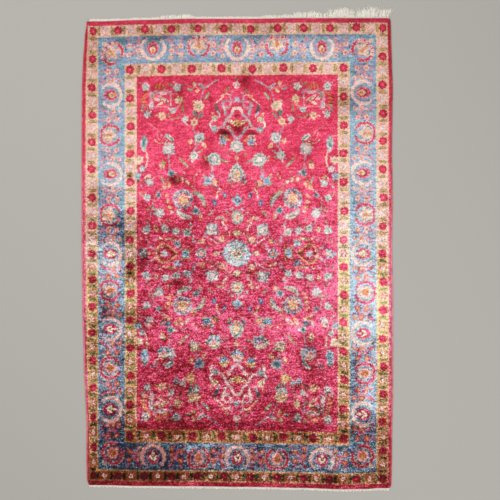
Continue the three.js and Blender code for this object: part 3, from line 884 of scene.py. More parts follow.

# %% [markdown]
# How the pile lies, and the sheen and shade painted on it
#
# Silky pile shows light where it leans one way and deep where it leans the other. On this rug the upper part
# looks light and the lower part deep, brushed patches lie across both, and each row of knots in the lower
# part stands a little apart. One number a knot holds this, from 0, deep, to 1, light. It is made of a slow
# line along the rug, clouds of two sizes, listed patches, and streaks that follow the rows.

# %% Soft clouds
def cloud(cells_across, cells_along, seed):
    """Smooth uneven numbers from -1 to 1 over the chart, from a coarse grid of random ones."""
    numbers = np.random.default_rng(seed).uniform(-1, 1, (cells_along + 2, cells_across + 2))
    place_x = np.linspace(0, cells_across, KNOTS_ACROSS)
    place_y = np.linspace(0, cells_along, KNOTS_ALONG)[:, None]
    cell_x, cell_y = place_x.astype(int), place_y.astype(int)
    share_x, share_y = place_x - cell_x, place_y - cell_y
    share_x = share_x**2 * (3 - 2 * share_x)
    share_y = share_y**2 * (3 - 2 * share_y)
    low = numbers[cell_y, cell_x] * (1 - share_x) + numbers[cell_y, cell_x + 1] * share_x
    high = numbers[cell_y + 1, cell_x] * (1 - share_x) + numbers[cell_y + 1, cell_x + 1] * share_x
    return low * (1 - share_y) + high * share_y


# %% The lean of the pile, with its painted sheen and shade
# Painted light and shade: the upper part is lighter and the lower part deeper, with lighter and darker
# patches across both.
LEAN_AND_SHEEN_ALONG = [
    # y, lean
    (-1020, 0.28), (-900, 0.34), (-790, 0.4), (-720, 0.46), (-590, 0.57), (-460, 0.57), (-330, 0.7),
    (-200, 0.66), (-6, 0.66), (120, 0.74), (300, 0.8), (560, 0.78), (700, 0.7), (820, 0.66), (1020, 0.6),
]
SHADE_AND_SHEEN_PATCHES = [
    # x, y, half width, half length, how much
    (-355, 940, 60, 18, -0.4), (-500, 930, 70, 20, -0.25), (-200, 940, 60, 14, -0.3),
    (-572, 860, 24, 40, -0.25), (120, 945, 200, 9, -0.16), (430, 945, 120, 8, -0.14),
    (200, 890, 120, 30, 0.12), (-625, 150, 40, 60, -0.1), (-500, 90, 26, 90, -0.5),
    (-560, 100, 50, 60, -0.32), (-465, -80, 30, 45, -0.5), (-300, 120, 150, 60, -0.22),
    (-420, 20, 50, 120, -0.34), (-560, -190, 60, 50, -0.2), (-560, -80, 60, 40, 0.14),
    (-200, 50, 90, 120, -0.26), (-310, -110, 100, 70, -0.26), (-90, -60, 60, 40, -0.24),
    (-440, -270, 110, 50, -0.4), (-466, 340, 12, 12, -0.7), (-270, 320, 32, 22, -0.85),
    (-136, 404, 15, 32, -0.55), (40, 560, 50, 40, -0.2), (0, -755, 430, 22, -0.3), (32, 748, 22, 32, -0.45),
    (-46, 520, 26, 22, -0.4), (0, 545, 16, 14, -0.3), (180, 440, 40, 40, -0.16), (-205, 300, 30, 40, -0.14),
    (-600, -500, 60, 300, -0.2), (-420, -850, 170, 90, -0.34), (-640, -860, 40, 120, -0.12),
    (-480, -680, 50, 60, -0.2), (575, -600, 36, 70, 0.45), (480, -110, 130, 170, 0.3),
    (430, 60, 60, 90, 0.24), (270, -300, 150, 50, 0.3), (-20, -270, 110, 60, 0.16),
    (-240, -470, 90, 46, -0.3), (323, -480, 44, 40, -0.36), (-450, -590, 100, 50, -0.2),
    (60, -560, 90, 40, 0.12), (150, -660, 60, 30, 0.1), (300, 690, 30, 26, -0.16),
    (-600, 620, 60, 90, -0.06), (330, -800, 170, 60, -0.16), (0, -980, 660, 24, -0.22),
    (-420, -980, 240, 24, -0.2), (-300, -795, 260, 24, -0.12), (-560, -760, 70, 120, -0.1),
    (300, -150, 300, 50, 0.24), (350, -60, 200, 40, 0.15), (60, 165, 480, 50, 0.14),
    (370, 250, 200, 50, 0.12), (200, 885, 380, 40, 0.13), (-430, -350, 130, 110, -0.18),
    (-560, -261, 60, 50, -0.3), (-520, -440, 50, 90, -0.3), (-520, -880, 120, 60, -0.18),
    (219, -470, 40, 40, 0.46), (540, -300, 90, 70, 0.22), (-92, -364, 50, 40, 0.14),
    (-196, -676, 50, 40, 0.18), (11, -676, 50, 40, 0.18), (-450, 154, 90, 40, 0.1),
    # painted sheen, where the pile is brushed towards the light
    (590, -190, 90, 200, 0.2), (560, -150, 120, 50, 0.16), (630, -230, 28, 150, 0.26),
    (630, -372, 24, 40, 0.24), (-530, -110, 60, 100, 0.2), (-540, -430, 60, 120, 0.15),
    (530, -572, 60, 60, 0.22), (630, -680, 26, 80, 0.1), (590, 310, 90, 190, 0.14),
    (600, 777, 60, 60, 0.14), (380, 790, 120, 120, 0.12), (323, 673, 50, 50, 0.12), (11, 569, 50, 40, 0.18),
    (-611, 569, 40, 50, 0.08), (-299, 258, 50, 50, 0.2), (219, 465, 50, 50, 0.1), (635, -330, 24, 50, 0.22),
    (635, -434, 24, 50, 0.14), (635, -538, 24, 45, 0.2), (635, -746, 24, 40, 0.16),
    (-626, -538, 24, 45, 0.18), (-626, -800, 24, 90, 0.14), (323, 154, 60, 50, 0.14),
    (-403, 50, 50, 50, 0.12), (0, 0, 60, 60, 0.2), (11, -157, 50, 50, 0.14), (470, -53, 90, 50, 0.12),
    (-611, -53, 40, 50, 0.12), (427, -884, 50, 45, 0.3), (-630, -850, 24, 50, 0.3),
    (-507, 60, 30, 60, 0.14), (-90, 480, 300, 300, 0.03),
    # painted shade, where the pile is brushed the other way
    (-110, 985, 240, 16, -0.18), (-403, 777, 50, 50, -0.14), (11, 361, 50, 50, -0.2),
    (323, 465, 50, 50, -0.2), (-590, 258, 80, 60, -0.2), (-196, 206, 55, 90, -0.2),
    (-60, 160, 60, 30, -0.12), (20, 40, 90, 60, -0.08), (-403, -53, 50, 50, -0.2),
    (115, -53, 60, 45, -0.14), (-400, -261, 230, 50, -0.06), (65, -261, 80, 45, -0.36),
    (115, -364, 50, 45, -0.2), (-611, -364, 50, 50, -0.14), (-270, -470, 100, 150, -0.3),
    (-450, -468, 90, 50, -0.12), (120, -572, 130, 45, -0.18), (-250, -572, 90, 50, -0.26),
    (-299, -690, 60, 70, -0.22), (365, -676, 85, 42, -0.42), (427, -780, 60, 40, -0.12),
    (-330, -782, 260, 40, -0.28), (300, -790, 180, 30, -0.1), (-540, -760, 60, 120, -0.24),
    (-334, -885, 60, 45, -0.56), (-130, -884, 150, 40, -0.14), (219, -884, 50, 40, -0.16),
    (-560, -988, 140, 30, -0.4), (-330, -972, 220, 28, -0.34), (-630, -960, 30, 40, -0.3),
    (219, -975, 50, 24, -0.28), (634, -890, 40, 50, -0.16), (-507, -884, 60, 45, -0.2),
    (-260, -960, 130, 40, -0.16), (470, 665, 110, 50, -0.3), (560, 1010, 160, 16, -0.2),
    (668, 850, 14, 170, -0.22), (634, -500, 40, 60, -0.14), (-626, 916, 30, 60, -0.16),
    (-626, 708, 30, 50, -0.12), (-626, 240, 30, 100, -0.16), (-626, -123, 24, 45, -0.16),
    (635, 812, 24, 50, -0.1), (635, 604, 24, 50, -0.18), (635, 293, 24, 50, -0.12),
    (635, -19, 26, 42, -0.3), (635, -642, 24, 40, -0.16), (635, -953, 30, 30, -0.18),
    (427, -988, 50, 30, -0.26), (115, 975, 50, 20, -0.2), (-570, -1000, 120, 24, -0.16),
    (545, -690, 55, 240, -0.12), (545, 150, 55, 130, -0.09),
    # small shadows beside the upper motifs
    (-118, 671, 15, 13, -0.34), (-243, 688, 13, 46, -0.28), (-58, 532, 30, 18, -0.26),
    (22, 522, 20, 16, -0.3), (-130, 496, 52, 8, -0.26), (-347, 722, 30, 16, -0.34),
]
# Painted sheen: how strongly the knots glint light and dark from one to the next, strongest in the lower
# part.
SHEEN_SPECKLE_ALONG = [(-1020, 1.3), (0, 1.2), (160, 0.85), (420, 0.46), (1020, 0.46)]
lean_and_sheen = np.interp(plain_y, *zip(*LEAN_AND_SHEEN_ALONG))
sheen_speckle = np.interp(plain_y, *zip(*SHEEN_SPECKLE_ALONG)) * np.where(beyond(FIELD), 0.8, 1)
for x, y, half_width, half_length, amount in SHADE_AND_SHEEN_PATCHES:
    uneven = 1 + 0.5 * cloud(60, 90, int(abs(x) + abs(y)))
    away = ((plain_x - x) / half_width) ** 2 + ((plain_y - y) / half_length) ** 2
    lean_and_sheen += amount * np.exp(-away * uneven)
knot_numbers = np.random.default_rng(5)
# Painted sheen and shade: blotches, streaks along the rows and glints from knot to knot.
lean_and_sheen += sheen_speckle * (0.16 * cloud(9, 18, 1) + 0.18 * cloud(26, 60, 2) + 0.1 * cloud(95, 240, 3))
lean_and_sheen += sheen_speckle * (0.24 * cloud(60, 392, 4) + 0.24 * cloud(150, 520, 6))
lean_and_sheen += sheen_speckle * 0.36 * knot_numbers.normal(0, 1, lean_and_sheen.shape)
lean_and_sheen = np.clip(lean_and_sheen, -0.1, 1.35)
middle_row = KNOTS_ALONG // 2
print("mean lean of the upper half", round(float(lean_and_sheen[middle_row + 1 :].mean()), 2))
print("mean lean of the lower half", round(float(lean_and_sheen[:middle_row].mean()), 2))

# %% [markdown]
# From lean to colour
#
# Each knot takes its yarn's tone at its lean, somewhere between the yarn's painted shade and its painted
# light, with a small stray of hue from dye to dye. The blue ground strays most, from teal to lavender,
# because it was dyed in small lots.

# %% Pile ends that stray
STRAY_ALONG = [(-1020, 0.75), (0, 0.65), (400, 0.45), (1020, 0.45)]
stray = np.interp(plain_y, *zip(*STRAY_ALONG))


def knots_astray():
    """How many knots each pile end strays by, mostly none."""
    return np.rint(stray * knot_numbers.normal(0, 1, lean_and_sheen.shape)).astype(int)


from_row = np.arange(KNOTS_ALONG)[:, None] + knots_astray()
from_column = np.arange(KNOTS_ACROSS) + knots_astray()
seen = chart[np.clip(from_row, 0, KNOTS_ALONG - 1), np.clip(from_column, 0, KNOTS_ACROSS - 1)]
print("share of ends that stray over another yarn", round(float((seen != chart).mean()), 3))

# %% Knot colours
# Painted highlight: the reds that lean farthest towards the light are pushed towards a pinkish white.
PAINTED_GLOSS_FROM = 0.8
PAINTED_GLOSS = np.array([14, 84, 96])
PALE_SHEEN_CAP = 1.2
RED_YARNS = ["crimson", "garnet", "wine"]


def toned(names):
    return np.isin(seen, [DYE[name] for name in names])


is_red = toned(RED_YARNS)
# Painted sheen and shade: each knot is mixed between its yarn's shaded tone and its lit tone.
deep = np.array([YARN_TONES[name][0] for name in YARN_NAMES], float)[seen]
light = np.array([YARN_TONES[name][1] for name in YARN_NAMES], float)[seen]
own_sheen = np.where(is_red, lean_and_sheen, np.minimum(lean_and_sheen, PALE_SHEEN_CAP))[..., None]
knot_colour = deep + (light - deep) * own_sheen
knot_colour += PAINTED_GLOSS * np.maximum(lean_and_sheen - PAINTED_GLOSS_FROM, 0)[..., None] * is_red[..., None]


def tint(chosen, shift, amount):
    """Moves the colour of the chosen knots by a shift times an amount for each knot."""
    knot_colour[chosen] += shift * np.broadcast_to(amount, chosen.shape)[chosen, None]


blue_stray = 0.7 * cloud(90, 138, 21) + 0.6 * knot_numbers.normal(0, 1, lean_and_sheen.shape)
TO_TEAL = np.array([-14, 8, -6])
TO_LAVENDER = np.array([12, -6, 4])
tint(toned(["sky"]), TO_TEAL, np.maximum(-blue_stray, 0))
tint(toned(["sky"]), TO_LAVENDER, np.maximum(blue_stray, 0))

# The pale yarns were spun from mixed wool, so a flower is never one even tone.
MIXED = ["ice", "white", "cream", "teal", "mauve", "blush"]
TO_WARM = np.array([14, -2, -16])
TO_COOL = np.array([-40, -16, 4])
mixed_stray = 0.9 * cloud(210, 320, 22) + 0.5 * knot_numbers.normal(0, 1, lean_and_sheen.shape)
tint(toned(MIXED), TO_WARM, np.maximum(mixed_stray, 0))
tint(toned(MIXED), TO_COOL, np.maximum(-mixed_stray, 0))
knot_colour += 5 * knot_numbers.normal(0, 1, knot_colour.shape)

# The guard ground is tinted pink peach in the upper part, gold below and brown at the lower end: painted
# light and shade, the upper pile washed pale by the light and the lower pile deeper.
TO_LIT_PINK = np.array([2, 6, 16])
TO_SHADED_GOLD = np.array([2, 4, -16])
TO_SHADED_BROWN = np.array([0, -14, -6])
gold_share = np.clip((-plain_y - 4 + 30 * np.clip(plain_x / 600, -1, 1)) / 60, 0, 1)
brown_share = np.clip((-plain_y - 480) / 240, 0, 1)
is_guard = toned(["peach"]) & beyond(FIELD)
tint(is_guard, TO_LIT_PINK, 1 - gold_share)
tint(is_guard, TO_SHADED_GOLD, gold_share)
tint(is_guard, TO_SHADED_BROWN, brown_share)
# The peach and cream of the motifs take a quarter of the same painted gold shade.
tint(toned(["peach", "cream"]) & ~is_guard, TO_SHADED_GOLD, 0.25 * gold_share)

# In the upper border the reds are tinted greyer and bluer, more so towards the upper end.
TO_GREY_BLUE = np.array([-8, 18, 10])
in_border = beyond(BLUE_FROM) & ~beyond(OUTER_GUARD_FROM)
grey_blue_share = np.clip(0.5 + plain_y / 600, 0, 1)
tint(toned(["crimson", "garnet", "rose", "coral"]) & in_border, TO_GREY_BLUE, grey_blue_share)

# The crimson along the sides is paler and pinker, most in the lower middle, and the crimson band at the top
# end a little.
TO_PALE_PINK = np.array([8, 34, 30])
PALE_PINK_ALONG = [
    # y, how much
    (-1020, 0.4), (-820, 0.6), (-600, 0.9), (-200, 1.0), (100, 0.8), (400, 0.4), (700, 0.1), (1020, 0),
]
at_side = (np.abs(plain_x) > OUTER_BAND_FROM[0]) & (np.abs(plain_y) < OUTER_BAND_FROM[1])
at_top = plain_y > OUTER_BAND_FROM[1]
tint(toned(["crimson"]) & at_top, TO_PALE_PINK, 0.2)
tint(toned(["crimson"]) & at_side, TO_PALE_PINK, np.interp(plain_y, *zip(*PALE_PINK_ALONG)))


def to_linear(colour):
    """From screen values of 0 to 255 to the scene's own linear ones."""
    c = np.clip(np.asarray(colour, float) / 255, 0, 1)
    return np.where(c <= 0.04045, c / 12.92, ((c + 0.055) / 1.055) ** 2.4)


knot_colour = to_linear(knot_colour)
print("mean colour", [round(float(v), 3) for v in knot_colour.mean((0, 1))])

# %% [markdown]
# Fitting the cloth to its true outline
#
# A rug on a floor is never a true rectangle: the sides of this one bow, and its ends run aslant. The frame's
# body has that outline, so it is read from there. The sides pull only the outer guard with them, while the
# ends slant the whole of each border.

# %% Outline of the body
EDGE_LEVELS = (1.0 * MM, 8.0 * MM)
CORNER_ROUND = 7.0 * MM
CORNER_CLEAR = 42 * MM

body_points = np.array([v.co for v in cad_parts["rug"].data.vertices])
rim = body_points[(body_points[:, 2] > EDGE_LEVELS[0]) & (body_points[:, 2] < EDGE_LEVELS[1])]


def edge_line(points, run, rise):
    """One edge as a function: its place along rise, for a place along run."""
    order = np.argsort(points[:, run])
    ordered = points[order]
    return lambda at: np.interp(at, ordered[:, run], ordered[:, rise])


on_side = (rim[:, 1] > body_low.y + CORNER_CLEAR) & (rim[:, 1] < body_high.y - CORNER_CLEAR)
on_end = (rim[:, 0] > body_low.x + CORNER_CLEAR) & (rim[:, 0] < body_high.x - CORNER_CLEAR)
left_edge = edge_line(rim[on_side & (rim[:, 0] < 0)], 1, 0)
right_edge = edge_line(rim[on_side & (rim[:, 0] > 0)], 1, 0)
bottom_edge = edge_line(rim[on_end & (rim[:, 1] < 0)], 0, 1)
top_edge = edge_line(rim[on_end & (rim[:, 1] > 0)], 0, 1)
print("left edge from", round(float(left_edge(-0.9)), 4), "to", round(float(left_edge(0.2)), 4))

# %% Places of the lines between knots
SIDE_PULL = ((602, 0.0), (655, 0.62), (HALF_WIDTH, 1.0))
END_PULL = ((300, 0.0), (780, 0.9), (HALF_LENGTH, 1.0))


def fitted(x_mm, y_mm):
    """A place on the even chart, in millimetres, moved onto the true cloth, in metres."""
    x = MIDDLE_X + x_mm * MM
    y = MIDDLE_Y + y_mm * MM
    to_end = np.where(y_mm > 0, top_edge(x) - body_high.y, bottom_edge(x) - body_low.y)
    y = y + to_end * np.interp(np.abs(y_mm), *zip(*END_PULL))
    to_side = np.where(x_mm > 0, right_edge(y) - body_high.x, left_edge(y) - body_low.x)
    x = x + to_side * np.interp(np.abs(x_mm), *zip(*SIDE_PULL))
    for sign_x in (-1, 1):
        for sign_y in (-1, 1):
            corner_x = (right_edge if sign_x > 0 else left_edge)(sign_y * 2.0)
            corner_y = (top_edge if sign_y > 0 else bottom_edge)(sign_x * 2.0)
            du = sign_x * (x - corner_x) + CORNER_ROUND
            dv = sign_y * (y - corner_y) + CORNER_ROUND
            inside = (du > 0) & (dv > 0)
            shrink = np.where(inside, np.maximum(du, dv) / np.maximum(np.hypot(du, dv), 1e-9), 1)
            x = np.where(inside, corner_x + sign_x * (du * shrink - CORNER_ROUND), x)
            y = np.where(inside, corner_y + sign_y * (dv * shrink - CORNER_ROUND), y)
    return x, y


line_x, line_y = fitted(*np.meshgrid(knot_lines_x, knot_lines_y))
print("cloth from", round(float(line_x.min()), 4), round(float(line_y.min()), 4))
print("cloth to", round(float(line_x.max()), 4), round(float(line_y.max()), 4))

# %% [markdown]
# The pile
#
# Its height is nearly even, a little lower where it is brushed flat, and uneven by a fraction of a
# millimetre from knot to knot. The clipped edge rounds down. The whole is five panels side by side across
# the rug, each a closed solid of its own, so that no mesh gets too heavy.

# %% Pile height
PILE_TOP = THICKNESS - 0.5 * MM
PILE_FOOT = 2.7 * MM
EDGE_DROP = (1.9, 0.6, 0.15)


def at_lines(values):
    """Knot values averaged at the corners where four knots meet."""
    padded = np.pad(values, [(1, 1), (1, 1)] + [(0, 0)] * (values.ndim - 2), mode="edge")
    return (padded[1:, 1:] + padded[1:, :-1] + padded[:-1, 1:] + padded[:-1, :-1]) / 4


height = PILE_TOP + MM * (0.25 * cloud(26, 40, 31) + 0.12 * cloud(12, 392, 32))
height = at_lines(height + MM * 0.5 * (np.clip(lean_and_sheen, 0.1, 0.8) - 0.6))
height += MM * 0.13 * np.random.default_rng(33).uniform(-1, 1, height.shape)
ring_x = np.minimum(np.arange(KNOTS_ACROSS + 1), np.arange(KNOTS_ACROSS, -1, -1))
ring_y = np.minimum(np.arange(KNOTS_ALONG + 1), np.arange(KNOTS_ALONG, -1, -1))
ring = np.minimum(ring_x[None, :], ring_y[:, None])
for number, drop in enumerate(EDGE_DROP):
    height[ring == number] -= drop * MM
print("pile from", round(float(height.min()) / MM, 2), "to", round(float(height.max()) / MM, 2), "mm")

# %% Mesh tools
def make_mesh(name, points, face_groups, material, smooth=None):
    """A mesh from points and groups of faces, each group with one number of corners."""
    loops = np.concatenate([np.asarray(g).ravel() for g in face_groups]).astype(np.int32)
    totals = np.concatenate([np.full(len(g), np.asarray(g).shape[1]) for g in face_groups]).astype(np.int32)
    starts = np.concatenate([[0], np.cumsum(totals)[:-1]]).astype(np.int32)
    mesh = bpy.data.meshes.new(name)
    mesh.vertices.add(len(points))
    mesh.vertices.foreach_set("co", np.asarray(points, np.float32).ravel())
    mesh.loops.add(len(loops))
    mesh.loops.foreach_set("vertex_index", loops)
    mesh.polygons.add(len(totals))
    mesh.polygons.foreach_set("loop_start", starts)
    mesh.polygons.foreach_set("loop_total", totals)
    if smooth is not None:
        mesh.polygons.foreach_set("use_smooth", np.asarray(smooth, bool))
    mesh.update(calc_edges=True)
    mesh.materials.append(material)
    piece = bpy.data.objects.new(name, mesh)
    bpy.context.collection.objects.link(piece)
    return piece


def paint(piece, domain, colours):
    """Stores linear colours on a mesh as its yarn attribute."""
    attribute = piece.data.color_attributes.new("yarn", "FLOAT_COLOR", domain)
    rgba = np.concatenate([colours, np.ones((len(colours), 1))], axis=1)
    attribute.data.foreach_set("color", rgba.astype(np.float32).ravel())


def triangles(piece):
    return sum(len(face.vertices) - 2 for face in piece.data.polygons)


# %% [markdown]
# Finishes
#
# All yarns share one way of making a finish: the colour stored on the mesh, darkened and lightened by fine
# fibres, with a bump of the same fibres. The wool is smoother than the cotton. All have a weak
# sheen, because the silky light of the pile is in the knots' own tones already.

# %% Finishes
def link(tree, source, output, target, socket):
    tree.links.new(source.outputs[output], target.inputs[socket])


def fibre_finish(name, roughness, sheen, fibre_size, fleck, bump_height, cell_size=None):
    """A yarn finish. Sizes are in millimetres, and fleck is how much the fibres change the colour."""
    material = new_material(name, roughness)
    tree = material.node_tree
    shader = shader_of(material)
    shader.inputs["Sheen Weight"].default_value = sheen
    shader.inputs["Sheen Roughness"].default_value = 0.42
    shader.inputs["Specular IOR Level"].default_value = 0.14
    yarn = tree.nodes.new("ShaderNodeVertexColor")
    yarn.layer_name = "yarn"
    place = tree.nodes.new("ShaderNodeTexCoord")
    fibres = tree.nodes.new("ShaderNodeTexNoise")
    fibres.inputs["Scale"].default_value = 1 / (fibre_size * MM)
    fibres.inputs["Detail"].default_value = 3
    link(tree, place, "Object", fibres, "Vector")
    level = tree.nodes.new("ShaderNodeMapRange")
    level.inputs["From Min"].default_value = 0.25
    level.inputs["From Max"].default_value = 0.75
    level.inputs["To Min"].default_value = 1 - fleck
    level.inputs["To Max"].default_value = 1 + fleck
    link(tree, fibres, "Fac", level, "Value")
    shade = tree.nodes.new("ShaderNodeVectorMath")
    shade.operation = "SCALE"
    link(tree, yarn, "Color", shade, "Vector")
    link(tree, level, "Result", shade, "Scale")
    link(tree, shade, "Vector", shader, "Base Color")
    relief = fibres
    bump_source = "Fac"
    if cell_size:
        cells = tree.nodes.new("ShaderNodeTexVoronoi")
        cells.inputs["Scale"].default_value = 1 / (cell_size * MM)
        link(tree, place, "Object", cells, "Vector")
        relief = tree.nodes.new("ShaderNodeMath")
        relief.operation = "SUBTRACT"
        link(tree, fibres, "Fac", relief, 0)
        link(tree, cells, "Distance", relief, 1)
        bump_source = "Value"
    bump = tree.nodes.new("ShaderNodeBump")
    bump.inputs["Strength"].default_value = 0.7
    bump.inputs["Distance"].default_value = bump_height * MM
    link(tree, relief, bump_source, bump, "Height")
    link(tree, bump, "Normal", shader, "Normal")
    return material


pile_finish = fibre_finish("pile_wool", 0.74, 0.08, 0.8, 0.16, 0.5, cell_size=2.6)
overcast_finish = fibre_finish("overcast_wool", 0.78, 0.1, 0.5, 0.2, 0.3)
cotton_finish = fibre_finish("cotton_yarn", 0.85, 0.12, 0.45, 0.14, 0.25)

# %% Pile panels
PANELS = 5
ROWS_A_PANEL = KNOTS_ALONG // PANELS
OWN_SHARE = 0.62

corner_colour = at_lines(knot_colour)


def pile_panel(number):
    first = number * ROWS_A_PANEL
    rows = slice(first, first + ROWS_A_PANEL + 1)
    top = np.stack([line_x[rows], line_y[rows], height[rows]], axis=-1)
    count_y, count_x = top.shape[:2]
    index = np.arange(count_y * count_x).reshape(count_y, count_x)
    quads = np.stack([index[:-1, :-1], index[:-1, 1:], index[1:, 1:], index[1:, :-1]], axis=-1)

    around = np.concatenate([index[0, :-1], index[:-1, -1], index[-1, :0:-1], index[:0:-1, 0]])
    flat_top = top.reshape(-1, 3)
    foot = flat_top[around].copy()
    foot[:, 2] = PILE_FOOT
    foot_index = len(flat_top) + np.arange(len(around))
    walls = np.stack([foot_index, np.roll(foot_index, -1), np.roll(around, -1), around], axis=-1)
    base = foot_index[::-1][None, :]

    own = knot_colour[first : first + ROWS_A_PANEL]
    shared = corner_colour[rows]
    meeting = np.stack([shared[:-1, :-1], shared[:-1, 1:], shared[1:, 1:], shared[1:, :-1]], axis=2)
    top_colour = OWN_SHARE * own[:, :, None, :] + (1 - OWN_SHARE) * meeting
    edge_colour = shared.reshape(-1, 3)[around]
    next_colour = np.roll(edge_colour, -1, axis=0)
    wall_colour = np.stack([edge_colour, next_colour, next_colour, edge_colour], axis=1)
    colours = np.concatenate([top_colour.reshape(-1, 3), wall_colour.reshape(-1, 3), edge_colour[::-1]])

    faces = [quads.reshape(-1, 4), walls, base]
    smooth = np.concatenate([np.ones(len(faces[0])), np.zeros(len(walls) + 1)])
    piece = make_mesh(f"pile_{number + 1}", np.concatenate([flat_top, foot]), faces, pile_finish, smooth)
    paint(piece, "CORNER", colours)
    return piece


pile = [pile_panel(number) for number in range(PANELS)]
for panel in pile:
    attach(panel, "root")
    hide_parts("rug")
print("pile triangles", [triangles(panel) for panel in pile])

# %% [markdown]
# The ground weave
#
# Under the pile lies the woven ground, three millimetres thick with its knots' backs. It is the sheet that
# everything else sits on, and it shows only from below, where the pattern's bands come through: the finish
# works them out from the distance beyond the field, with the weft as fine ridges.

# %% Ground weave
GROUND_TOP = 3.0 * MM
GROUND_INSET = 0.4
GROUND_CELLS = (43, 66)


def ground_finish():
    material = new_material("ground_weave", 0.9)
    tree = material.node_tree
    shader = shader_of(material)
    shader.inputs["Specular IOR Level"].default_value = 0.2
    place = tree.nodes.new("ShaderNodeTexCoord")
    from_middle = tree.nodes.new("ShaderNodeVectorMath")
    from_middle.operation = "SUBTRACT"
    from_middle.inputs[1].default_value = (MIDDLE_X, MIDDLE_Y, 0)
    link(tree, place, "Object", from_middle, 0)
    size = tree.nodes.new("ShaderNodeVectorMath")
    size.operation = "ABSOLUTE"
    link(tree, from_middle, "Vector", size, 0)
    past_field = tree.nodes.new("ShaderNodeVectorMath")
    past_field.operation = "SUBTRACT"
    past_field.inputs[1].default_value = (FIELD[0] * MM, FIELD[1] * MM, 0)
    link(tree, size, "Vector", past_field, 0)
    parts = tree.nodes.new("ShaderNodeSeparateXYZ")
    link(tree, past_field, "Vector", parts, "Vector")
    farthest = tree.nodes.new("ShaderNodeMath")
    farthest.operation = "MAXIMUM"
    link(tree, parts, "X", farthest, 0)
    link(tree, parts, "Y", farthest, 1)
    reach = (OUTER_BAND_FROM[0] - FIELD[0]) * MM * 1.25
    share = tree.nodes.new("ShaderNodeMath")
    share.operation = "DIVIDE"
    share.inputs[1].default_value = reach
    link(tree, farthest, "Value", share, 0)
    bands = tree.nodes.new("ShaderNodeValToRGB")
    bands.color_ramp.interpolation = "CONSTANT"
    stops = [(0.0, "crimson"), (0.001, "peach")]
    for line, yarn in ((BLUE_FROM, "sky"), (OUTER_GUARD_FROM, "peach"), (OUTER_BAND_FROM, "crimson")):
        stops.append(((line[0] - FIELD[0]) * MM / reach, yarn))
    for number, (at, yarn) in enumerate(stops):
        stop = bands.color_ramp.elements[number] if number < 2 else bands.color_ramp.elements.new(at)
        stop.position = at
        middle_tone = np.mean(YARN_TONES[yarn], axis=0)
        stop.color = (*to_linear(middle_tone), 1)
    link(tree, share, "Value", bands, "Fac")
    knots = tree.nodes.new("ShaderNodeTexNoise")
    knots.inputs["Scale"].default_value = 1 / (2.6 * MM)
    link(tree, place, "Object", knots, "Vector")
    mottle = tree.nodes.new("ShaderNodeMapRange")
    mottle.inputs["From Min"].default_value = 0.3
    mottle.inputs["From Max"].default_value = 0.7
    mottle.inputs["To Min"].default_value = 0.6
    mottle.inputs["To Max"].default_value = 1.35
    link(tree, knots, "Fac", mottle, "Value")
    shade = tree.nodes.new("ShaderNodeVectorMath")
    shade.operation = "SCALE"
    link(tree, bands, "Color", shade, "Vector")
    link(tree, mottle, "Result", shade, "Scale")
    link(tree, shade, "Vector", shader, "Base Color")
    weft = tree.nodes.new("ShaderNodeTexWave")
    weft.bands_direction = "Y"
    weft.inputs["Scale"].default_value = 0.314 / (2.6 * MM)
    weft.inputs["Distortion"].default_value = 1.5
    link(tree, place, "Object", weft, "Vector")
    bump = tree.nodes.new("ShaderNodeBump")
    bump.inputs["Strength"].default_value = 0.8
    bump.inputs["Distance"].default_value = 0.6 * MM
    link(tree, weft, "Fac", bump, "Height")
    link(tree, bump, "Normal", shader, "Normal")
    return material


cells_x, cells_y = GROUND_CELLS
grid_x, grid_y = fitted(*np.meshgrid(
    np.linspace(-HALF_WIDTH + GROUND_INSET, HALF_WIDTH - GROUND_INSET, cells_x + 1),
    np.linspace(-HALF_LENGTH + GROUND_INSET, HALF_LENGTH - GROUND_INSET, cells_y + 1),
))
flat_grid = np.stack([grid_x.ravel(), grid_y.ravel()], axis=-1)
ground_points = np.concatenate([
    np.c_[flat_grid, np.full(len(flat_grid), GROUND_TOP)],
    np.c_[flat_grid, np.zeros(len(flat_grid))],
])
index = np.arange(len(flat_grid)).reshape(cells_y + 1, cells_x + 1)
upper = np.stack([index[:-1, :-1], index[:-1, 1:], index[1:, 1:], index[1:, :-1]], axis=-1).reshape(-1, 4)
lower = upper[:, ::-1] + len(flat_grid)
around = np.concatenate([index[0, :-1], index[:-1, -1], index[-1, :0:-1], index[:0:-1, 0]])
below = around + len(flat_grid)
rim_faces = np.stack([below, np.roll(below, -1), np.roll(around, -1), around], axis=-1)
ground = make_mesh("ground_weave", ground_points, [upper, lower, rim_faces], ground_finish())
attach(ground, "root")
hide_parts("rug")
print("ground triangles", triangles(ground))

# %% [markdown]
# The overcast sides
#
# Each side of the rug is bound by winding wool round its last warps, close, turn against turn. The cord is
# lofted through the frame's own cord, and each turn swells and sinks a little. Its crimson turns pink along
# the middle of each side, and where a turn sinks it is painted darker, as shade between the turns.

# %% Overcast cords
TURN_LENGTH = 4.4
STEPS_A_TURN = 3
TURN_RELIEF = 0.45
CORD_CROSS = [
    # outward, upward
    (0.0, 0.0), (0.55, 0.0), (0.86, 0.08), (1.0, 0.4), (0.88, 0.78), (0.62, 0.97), (0.34, 0.98), (0.06, 0.72),
]
CORD_TONES = {
    # side: [(y, (red, green, blue))]
    "selvedge_left": [
        (-1020, (204, 66, 82)), (-800, (226, 96, 112)), (-500, (226, 118, 134)), (-200, (228, 126, 140)),
        (150, (230, 116, 132)), (450, (224, 96, 112)), (780, (200, 80, 90)), (1000, (184, 56, 64)),
    ],
    "selvedge_right": [
        (-1020, (184, 58, 70)), (-850, (204, 82, 94)), (-600, (224, 116, 130)), (-330, (234, 136, 152)),
        (-70, (236, 140, 154)), (250, (212, 108, 116)), (450, (196, 84, 92)), (780, (180, 72, 78)),
        (1000, (176, 66, 70)),
    ],
}


